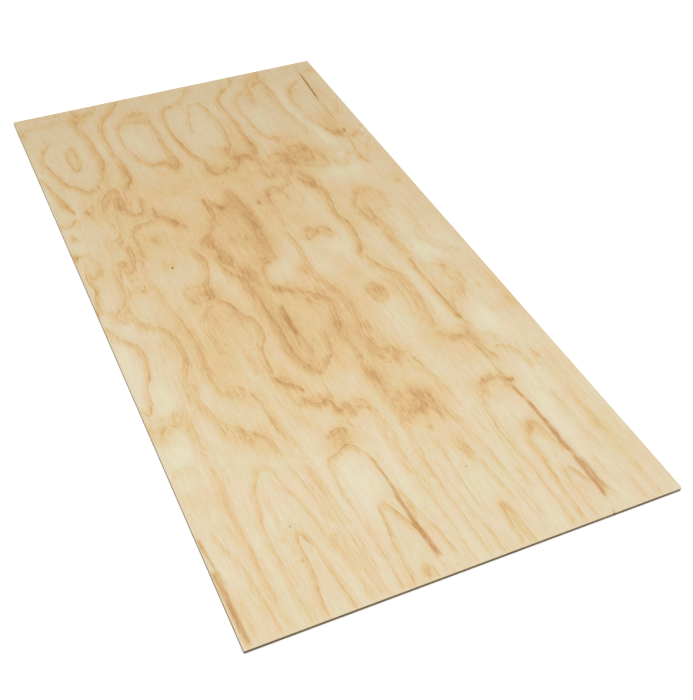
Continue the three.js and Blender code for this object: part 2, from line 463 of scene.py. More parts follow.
    (9, 33, 313,2275, 308,2232, 300,2182, 292,2130, 285,2086, 276,2052, 266,2012, 262,1982, 256,1960,
     241,1946, 228,1930),
    (9, 70, 244,2168, 237,2186, 233,2212, 232,2242, 231,2280, 228,2312, 222,2342, 217,2382, 215,2440),
    (7, 73, 286,2440, 282,2402, 278,2362, 272,2322, 268,2280, 265,2242, 258,2214, 250,2188, 245,2167),
    (11, 49, 230,2285, 226,2312, 222,2332), (7, 15, 214,2045, 212,2110, 210,2180, 213,2250),
    (9, 73, 219,2258, 217,2272), (7, 49, 200,2172, 199,2192),
    (8, 37, 306,1942, 312,2000, 324,2060, 334,2122, 340,2190),
    (6, 43, 340,1930, 345,1982, 347,2032, 353,2082, 357,2152, 360,2232, 364,2302, 371,2382, 373,2440),
    (6, 37, 356,1960, 362,2032, 370,2102, 375,2182, 378,2282, 382,2362),
    (12, 37, 314,2200, 322,2282, 330,2352, 335,2440), (6, 34, 344,2200, 340,2300, 350,2352, 357,2440),
    (8, 51, 536,2142, 545,2190, 551,2232, 560,2272, 568,2312, 575,2352, 580,2402),
    (8, 71, 443,2440, 445,2372, 448,2332, 450,2302, 455,2272, 458,2242, 460,2212, 464,2186, 474,2166),
    (11, 43, 447,2352, 449,2322, 453,2292),
    (8, 71, 476,2165, 484,2174, 489,2192, 497,2216, 507,2240, 517,2262, 524,2286),
    (12, 55, 472,2172, 481,2174), (10, 79, 500,2383, 493,2403, 483,2431, 480,2441),
    (5, 75, 500,2386, 503,2412, 505,2440), (6, 37, 530,2386, 533,2412, 536,2440),
    (7, 39, 592,1950, 593,2012, 590,2066, 594,2130),
    (7, 34, 604,1966, 606,2040, 604,2120, 609,2220, 612,2330, 614,2440),
    (8, 32, 665,1950, 660,2002, 655,2052, 650,2102, 651,2152, 646,2202, 650,2252, 652,2302, 655,2402,
     656,2440),
    (6, 34, 640,2060, 643,2112, 639,2166), (5, 32, 674,2090, 675,2200, 677,2320, 678,2440),
    (6, 34, 716,2062, 710,2102, 706,2152, 704,2202, 706,2262, 708,2312),
    (9, 50, 690,2322, 689,2382, 687,2440),
    (8, 33, 775,2062, 780,2112, 783,2152, 790,2202, 797,2252, 801,2302),
    (8, 51, 761,2280, 755,2312, 750,2352, 747,2402, 745,2440),
    (7, 67, 764,2282, 769,2322, 772,2362, 775,2402, 781,2440),
    (8, 30, 800,1930, 805,1962, 810,2002, 815,2062, 820,2112, 825,2162, 830,2222, 835,2302, 838,2390),
    (9, 37, 821,2108, 828,2150), (6, 12, 855,2080, 852,2002, 847,1952),
    (6, 15, 869,1960, 873,2052, 875,2130, 874,2210), (10, 37, 862,2202, 864,2300),
    (8, 51, 893,2440, 895,2302, 897,2242, 895,2172, 893,2112, 890,2062, 893,2012, 898,1976, 905,1950),
    (9, 62, 988,2062, 975,2080, 967,2100, 955,2121, 945,2142, 940,2170, 940,2202, 937,2242, 933,2292,
     930,2342, 928,2402, 927,2440),
    (17, 55, 989,2072, 977,2092, 961,2118, 951,2136), (5, 37, 952,2150, 949,2200, 947,2240),
    (8, 51, 988,2065, 994,2101, 997,2133, 1002,2163, 1009,2193, 1017,2223),
    (8, 35, 978,2245, 970,2262, 965,2292, 963,2322, 962,2372, 963,2440),
    (7, 67, 979,2246, 989,2264, 998,2286, 1005,2312, 1011,2334),
    (9, 20, 1102,1990, 1104,2080, 1102,2170, 1106,2260), (8, 30, 1101,1930, 1095,1972),
    (16, 15, 1150,2050, 1154,2130, 1158,2190), (8, 32, 1112,2330, 1112,2440), (9, 32, 1156,2300, 1154,2440),
    (8, 27, 1067,2240, 1068,2330), (9, 50, 13,708, 39,715, 65,686, 68,715, 58,747),
    (6, 45, 113,676, 116,708), (8, 45, 147,677, 157,709, 166,748, 172,781),
    (7, 30, 207,908, 210,947, 207,986, 201,1024, 197,1063, 204,1108, 207,1153, 210,1199),
    (8, 45, 232,799, 222,818, 216,844, 219,882, 216,921, 213,960, 216,979),
    (7, 45, 258,870, 271,895, 284,902, 277,883, 261,873),
    (7, 30, 284,1160, 310,1163, 335,1170, 352,1163, 361,1157),
    (7, 40, 13,870, 32,883, 48,876, 52,895, 61,915, 68,947, 65,973, 48,999, 29,992, 23,960, 26,934, 39,908),
    (8, 35, 61,986, 71,979, 68,1012), (14, 20, 322,700, 323,753, 318,776),
    (10, 48, 503,721, 500,760, 506,792, 503,831, 497,863, 490,879),
    (9, 50, 487,879, 474,895, 465,921, 445,941, 426,954, 413,966),
    (16, 35, 459,941, 452,973, 446,999, 452,1024),
    (8, 28, 445,1012, 465,1018, 474,1050, 477,1082, 468,1108, 452,1102, 445,1070, 452,1037),
    (16, 35, 481,1128, 500,1147, 510,1170, 508,1199), (8, 35, 516,960, 513,986, 523,1005),
    (10, 35, 561,973, 561,1012), (7, 35, 584,1037, 597,1024), (8, 20, 526,753, 535,786, 555,805),
    (22, 22, 600,700, 606,751, 613,803, 629,861, 635,893, 629,932, 626,970, 619,1022, 616,1060, 613,1112,
     603,1144),
    (8, 20, 771,557, 758,590, 761,628, 752,661, 758,693, 768,703, 787,706),
    (8, 35, 787,480, 787,506, 777,538),
    (8, 20, 781,590, 787,622, 800,648, 810,674, 813,706, 806,732, 794,751),
    (8, 40, 803,596, 810,577, 826,574, 842,577, 858,586, 865,609, 861,635, 858,667, 845,700, 826,725,
     813,745, 797,764, 781,777, 765,780, 752,764, 735,757, 726,770, 716,796, 710,828, 706,867),
    (7, 35, 810,609, 823,628, 842,625, 855,609), (7, 35, 732,783, 755,790, 771,803, 777,828, 774,854),
    (9, 60, 865,635, 884,648, 897,651),
    (9, 20, 890,519, 910,545, 929,545, 948,564, 958,590, 961,628, 952,661, 958,674),
    (12, 40, 948,628, 942,641, 923,661, 910,667),
    (8, 22, 903,680, 929,693, 955,703, 981,709, 997,700, 994,674, 990,641, 981,622),
    (9, 35, 1006,667, 1019,686, 1026,719, 1045,735, 1061,719, 1065,693),
    (9, 40, 1116,674, 1119,700, 1116,725, 1129,754, 1139,725, 1135,693),
    (10, 20, 1155,697, 1162,671, 1175,638, 1194,612), (16, 30, 865,686, 877,725, 890,757, 910,796),
    (8, 35, 910,796, 916,777), (16, 35, 1013,1089, 1007,1039, 997,989),
    (8, 20, 1065,893, 1077,906, 1087,931, 1087,970, 1084,1015, 1065,1028),
    (8, 15, 1013,1015, 1039,1021, 1065,1015, 1077,990), (9, 35, 1161,880, 1174,893, 1181,873),
    (12, 30, 48,1165, 44,1190, 52,1222, 70,1240, 92,1258),
    (7, 20, 294,1351, 290,1401, 292,1451, 306,1491, 324,1513),
    (8, 28, 352,1264, 325,1284, 301,1312, 291,1344, 293,1394, 297,1452, 303,1502),
    (7, 35, 379,1282, 399,1318, 409,1362, 411,1402, 405,1448, 393,1490),
    (10, 40, 545,1250, 570,1278, 602,1300, 640,1338), (9, 35, 611,1501, 608,1541, 599,1581, 589,1613),
    (6, 15, 522,1600, 522,1680, 521,1760, 520,1800), (7, 20, 404,1696, 411,1738, 421,1768, 439,1786),
    (7, 30, 62,1700, 82,1716, 98,1712), (8, 35, 30,1690, 52,1664, 74,1668, 92,1652, 110,1662),
    (7, 35, 690,1262, 698,1300, 712,1342, 722,1382), (7, 35, 700,1600, 708,1650, 722,1682, 742,1700),
    (8, 25, 1148,1096, 1122,1140, 1100,1176, 1093,1210, 1103,1250, 1126,1284, 1158,1312, 1190,1330),
    (8, 15, 1035,1338, 1059,1354, 1085,1370, 1109,1392, 1125,1418),
    (9, 15, 1132,1410, 1128,1450, 1112,1490, 1092,1522, 1068,1556),
    (8, 15, 1066,1497, 1042,1537, 1032,1577), (7, 20, 970,1240, 974,1300, 978,1340),
    (7, 35, 928,1636, 934,1668, 949,1698, 964,1718), (7, 20, 990,1640, 1012,1660, 1016,1700),
    (8, 35, 869,1265, 885,1287, 901,1309),
    (9, 62, 162,690, 164,660, 166,636, 170,616, 178,603, 188,591, 197,579, 209,567, 222,561, 233,568,
     240,584, 241,600, 239,620, 239,640, 240,668, 246,682),
    (8, 55, 170,679, 176,653, 182,637, 187,624, 198,616, 210,609, 221,600),
    (14, 66, 217,598, 221,615, 221,635, 217,655, 220,672, 230,686, 240,702, 250,719, 260,729, 272,736,
     283,722, 290,706, 293,688, 297,668, 298,650, 293,634),
    (9, 40, 233,636, 234,660, 237,684), (7, 28, 266,630, 264,660, 263,682),
    (9, 50, 300,532, 289,543, 279,560, 273,577, 270,592),
    (9, 35, 141,855, 150,840, 165,838, 178,825, 184,800, 187,770, 190,730, 186,690),
    (8, 45, 176,838, 174,855, 163,870),
    (11, 70, 182,870, 182,900, 184,935, 183,968, 177,988, 172,1012, 170,1034),
    (9, 45, 125,985, 127,975, 133,964, 142,961, 152,968, 157,984),
    (9, 45, 131,1001, 136,1011, 145,1019, 155,1025, 165,1037),
    (12, 32, 134,1092, 126,1112, 119,1128, 110,1144, 101,1160),
    (9, 45, 142,1076, 149,1088, 155,1102, 159,1118, 165,1132, 173,1124, 178,1108, 180,1088),
    (8, 12, 145,1040, 142,1070, 139,1092),
    (17, 45, 468,147, 472,180, 475,215, 480,250, 482,290, 480,330, 480,370, 484,410, 489,450, 494,490,
     497,532),
    (15, 55, 1128,132, 1100,150, 1075,165, 1058,186, 1047,215, 1040,247, 1037,282, 1037,318, 1042,360,
     1050,400, 1060,440, 1072,476, 1086,510, 1102,540, 1116,562),
    (11, 32, 178,1560, 171,1612, 172,1652, 184,1700, 195,1738, 211,1760, 230,1780, 246,1801, 262,1822),
    (8, 42, 295,1158, 284,1178, 284,1203, 291,1228, 305,1244, 327,1248),
    (10, 50, 886,1236, 894,1270, 907,1300, 927,1330, 944,1358, 955,1388, 960,1424, 956,1466, 948,1516,
     941,1564, 933,1610, 938,1640),
    (7, 20, 898,1322, 913,1350, 927,1384, 933,1424, 931,1474, 922,1530, 914,1580, 909,1610),
    (7, 26, 885,1340, 898,1376, 908,1420, 907,1470, 900,1530, 895,1580),
    (8, 30, 752,1500, 744,1545, 742,1590),
    (9, 60, 403,2130, 403,2080, 405,2030, 410,1996, 424,1981, 441,1976, 458,1966, 475,1956, 490,1963,
     502,1978, 512,1996, 519,2014),
    (8, 50, 412,2440, 411,2332, 411,2262, 408,2202, 406,2152, 406,2110),
    (22, 20, 120,1700, 114,1760, 110,1830, 112,1900, 112,1960),
    (8, 25, 774,1897, 784,1937, 794,1977, 800,2012),
    (13, 45, 403,150, 386,165, 365,178, 352,190, 346,212, 342,245, 341,290, 343,330, 350,360, 357,390,
     365,412, 377,434, 392,452, 408,464, 428,470, 448,476, 460,486),
    (9, 35, 460,486, 474,512, 488,538), (14, 65, 2,402, 12,440, 26,484, 38,528, 48,568, 62,612),
    (5, 30, 206,462, 205,480, 208,500), (12, 35, 1003,1150, 1006,1200, 1012,1240, 1015,1290, 1011,1340),
]
# Soft brown places: place, half width and half length, depth
latewoodPatches = [
    (60,85, 60,16, 50), (140,75, 60,22, 12), (222,88, 26,32, 42), (70,165, 12,20, 25), (232,395, 18,40, 22),
    (585,128, 32,22, 30), (435,130, 40,18, 18), (545,32, 60,20, 22), (440,150, 28,14, 12),
    (885,140, 26,22, 30), (1060,215, 22,60, 30), (1100,75, 70,16, 20), (1165,230, 18,60, 25),
    (1110,415, 34,40, 30), (1105,475, 36,30, 40), (1110,540, 26,30, 30), (440,480, 45,26, 12),
    (185,525, 14,20, 40), (480,470, 26,40, 8), (1180,270, 22,30, 18), (400,560, 120,60, 12),
    (470,520, 60,40, 15), (600,660, 60,30, 5), (62,688, 12,12, 45), (38,702, 34,18, 30),
    (330,730, 20,45, 22), (120,640, 40,40, 12), (150,545, 30,24, 12), (230,590, 30,40, 18),
    (200,690, 40,30, 15), (770,690, 22,24, 30), (735,545, 26,16, 22), (870,600, 34,40, 40),
    (880,640, 30,18, 30), (940,640, 20,26, 14), (1000,600, 22,20, 32), (1060,712, 26,16, 22),
    (930,600, 54,54, 30), (880,745, 24,50, 22), (970,690, 70,30, 15), (780,590, 30,40, 12),
    (1000,660, 60,40, 12), (1180,640, 40,60, 12), (530,785, 36,46, 24), (500,760, 10,50, 20),
    (560,830, 40,50, 22), (600,790, 14,80, 22), (520,870, 60,60, 14), (560,950, 60,80, 16),
    (610,930, 22,90, 20), (600,1040, 36,50, 30), (560,1040, 26,40, 20), (590,1120, 26,20, 32),
    (420,965, 30,34, 28), (457,1060, 22,52, 24), (500,1180, 26,62, 34), (515,1190, 10,46, 35),
    (340,1205, 46,42, 10), (75,1215, 30,34, 34), (145,985, 22,18, 40), (62,985, 12,14, 35),
    (675,1220, 22,34, 40), (665,1350, 18,26, 25), (1040,895, 22,20, 32), (1055,900, 10,24, 15),
    (1180,872, 14,12, 15), (1010,1060, 16,60, 20), (1150,1090, 30,60, 18), (790,1290, 40,30, 14),
    (1080,1370, 34,34, 18), (930,1000, 20,60, 8), (843,1412, 26,40, 60), (380,1040, 14,50, 12),
    (330,1380, 60,90, 10), (500,1420, 14,90, 15), (60,1512, 12,30, 25), (80,1708, 24,24, 32),
    (90,1670, 20,20, 18), (115,1800, 16,60, 20), (235,1540, 16,60, 22), (265,1650, 34,20, 20),
    (245,1830, 44,44, 22), (180,1560, 22,80, 15), (480,1755, 36,22, 22), (540,1842, 32,26, 52),
    (478,1920, 34,30, 40), (462,1948, 34,16, 25), (500,1640, 18,34, 22), (592,1622, 14,18, 30),
    (655,1525, 20,50, 28), (660,1745, 26,34, 42), (670,1830, 28,80, 18), (760,1690, 44,34, 26),
    (775,1715, 20,16, 16), (742,1868, 46,46, 55), (725,1905, 46,30, 42), (770,1890, 18,36, 36),
    (680,1930, 36,26, 30), (970,1698, 32,22, 34), (958,1716, 10,14, 25), (1000,1760, 16,16, 25),
    (1018,1560, 12,60, 20), (1130,1620, 14,14, 28), (1195,1618, 22,26, 30), (1075,1530, 34,34, 16),
    (1060,1750, 30,30, 14), (965,1905, 40,24, 12), (915,1945, 22,18, 20), (970,1950, 40,16, 18),
    (40,1882, 34,20, 20), (232,1942, 20,22, 20), (40,1985, 34,46, 18), (180,2070, 14,40, 18),
    (115,1960, 20,50, 15), (770,2085, 22,46, 52), (768,2110, 12,34, 34), (761,2298, 11,22, 25),
    (1150,2130, 20,80, 26), (955,2030, 6,12, 30), (1165,1970, 24,40, 16), (700,2040, 50,30, 8),
    (545,803, 13,9, 100), (672,826, 9,14, 80), (185,524, 7,12, 70), (165,868, 8,10, 50), (657,612, 8,8, 40),
    (775,846, 7,9, 50), (186,2016, 6,10, 35), (403,1656, 6,8, 60), (1023,1912, 12,9, 120),
    (895,797, 6,9, 50), (535,1490, 6,16, 70), (533,1430, 6,24, 70), (85,1205, 34,46, 20),
    (150,1385, 12,40, 16), (776,687, 22,18, 25), (330,1340, 44,60, 10), (575,1275, 30,26, 22),
    (1078,1400, 44,60, 26), (1070,1480, 40,60, 20), (1180,1616, 40,22, 28), (600,1450, 50,80, 14),
    (845,1412, 20,40, 22), (760,1690, 30,30, 20), (1005,1200, 16,110, 12), (700,1640, 16,30, 14),
    (144,976, 14,14, 50), (152,1056, 10,12, 25), (168,1055, 5,6, 50), (166,1122, 8,10, 40),
    (125,1080, 14,30, 25), (28,785, 16,28, 85), (6,880, 16,22, 70), (8,690, 10,20, 35),
    (225,650, 14,40, 35), (265,722, 16,14, 35), (470,500, 22,34, 30), (425,472, 24,12, 30),
    (60,86, 55,14, 20), (925,585, 34,46, 14), (990,640, 30,50, 16), (1040,960, 30,60, 14),
    (990,1020, 16,60, 16), (622,920, 14,90, 30), (700,560, 30,20, 20), (318,1204, 36,36, 42),
    (150,1385, 14,44, 30), (850,1405, 13,20, 30), (1022,1612, 9,14, 60), (880,1205, 12,30, 30),
    (705,1850, 34,30, 25), (660,1850, 14,80, 16), (35,2370, 20,60, 20), (975,2085, 14,18, 35),
    (4,118, 9,26, 50), (110,78, 46,14, 25), (470,505, 32,34, 35), (478,440, 18,60, 20),
    (420,472, 28,12, 30), (1118,532, 20,28, 30), (455,1040, 18,24, 40), (462,1095, 14,20, 35),
    (432,978, 20,30, 35), (75,888, 4,5, 35), (398,862, 8,7, 45), (885,748, 20,50, 18), (891,790, 14,24, 20),
    (622,920, 20,120, 40), (356,1200, 12,40, 20), (243,1530, 8,60, 25), (1090,1380, 30,30, 30),
    (1112,1450, 20,60, 30), (1075,1505, 22,50, 30), (760,1690, 30,30, 20), (75,1705, 46,24, 45),
    (112,1760, 18,60, 20), (120,1850, 15,70, 10), (112,2050, 14,120, 16), (115,2260, 12,150, 22),
    (250,1838, 42,38, 40), (275,1885, 26,44, 28), (222,1800, 26,26, 20), (532,1838, 26,28, 55),
    (492,1772, 32,16, 40), (735,1858, 50,48, 50), (762,1900, 40,40, 35), (700,1925, 52,28, 40),
    (800,1932, 14,40, 30), (670,1860, 24,80, 20), (922,1928, 20,34, 28), (958,1886, 34,14, 30),
    (1002,1925, 18,40, 42), (1156,2022, 22,60, 30), (1150,2165, 20,60, 30), (770,2070, 18,64, 14),
    (36,2385, 20,50, 20),
]
# Pale places between the rings, in the same way
palePatches = [
    (262,280, 16,110, 35), (320,270, 18,120, 30), (505,250, 14,160, 40), (372,290, 22,70, 15),
    (75,560, 20,60, 30), (82,650, 16,40, 50), (200,660, 8,16, 35), (268,670, 12,26, 30),
    (28,730, 14,22, 40), (30,830, 26,44, 35), (75,1140, 20,30, 25), (75,1275, 26,26, 40),
    (25,1420, 22,70, 45), (18,1560, 16,60, 45), (75,1615, 26,50, 45), (60,1810, 28,36, 40),
    (25,1925, 20,24, 35), (140,1740, 20,60, 20), (530,540, 14,60, 25), (560,300, 14,80, 12),
    (800,320, 12,70, 20), (870,300, 20,50, 22), (1012,260, 16,150, 42), (1040,450, 18,80, 45),
    (1055,560, 20,50, 35), (1055,665, 11,14, 60), (825,500, 18,50, 35), (835,650, 8,40, 25),
    (1010,760, 40,40, 30), (850,760, 14,22, 30), (1080,890, 14,16, 30), (700,870, 26,40, 15),
    (840,930, 26,70, 28), (950,900, 20,40, 20), (840,1140, 30,40, 32), (800,1170, 40,40, 18),
    (430,1010, 7,16, 45), (415,1130, 14,60, 35), (440,1230, 18,90, 25), (640,1190, 10,40, 25),
    (715,1225, 12,30, 30), (1100,1285, 34,40, 40), (970,1400, 12,90, 35), (930,1180, 20,50, 20),
    (985,1500, 12,120, 35), (830,1560, 26,80, 32), (1095,1650, 40,70, 45), (440,1560, 22,60, 35),
    (345,1610, 14,30, 30), (385,1700, 16,36, 30), (700,1740, 16,30, 25), (600,1720, 24,40, 25),
    (955,1740, 10,14, 30), (1080,1930, 30,40, 35), (1130,1930, 8,60, 25), (640,1940, 14,60, 30),
    (860,1920, 24,60, 25), (560,1900, 12,40, 25), (400,1900, 20,40, 20), (455,2110, 34,90, 30),
    (950,2010, 30,40, 25), (980,2180, 20,40, 15), (40,2230, 14,80, 20), (140,2150, 10,120, 20),
    (580,2120, 14,100, 15), (1060,2050, 20,90, 25), (1120,2130, 6,120, 25), (700,2380, 12,60, 15),
    (530,2412, 16,24, 35), (1016,2410, 10,20, 45), (880,2370, 12,60, 15), (255,2400, 14,40, 12),
    (640,520, 20,30, 20), (960,640, 5,20, 30), (1200,540, 10,24, 25),
]
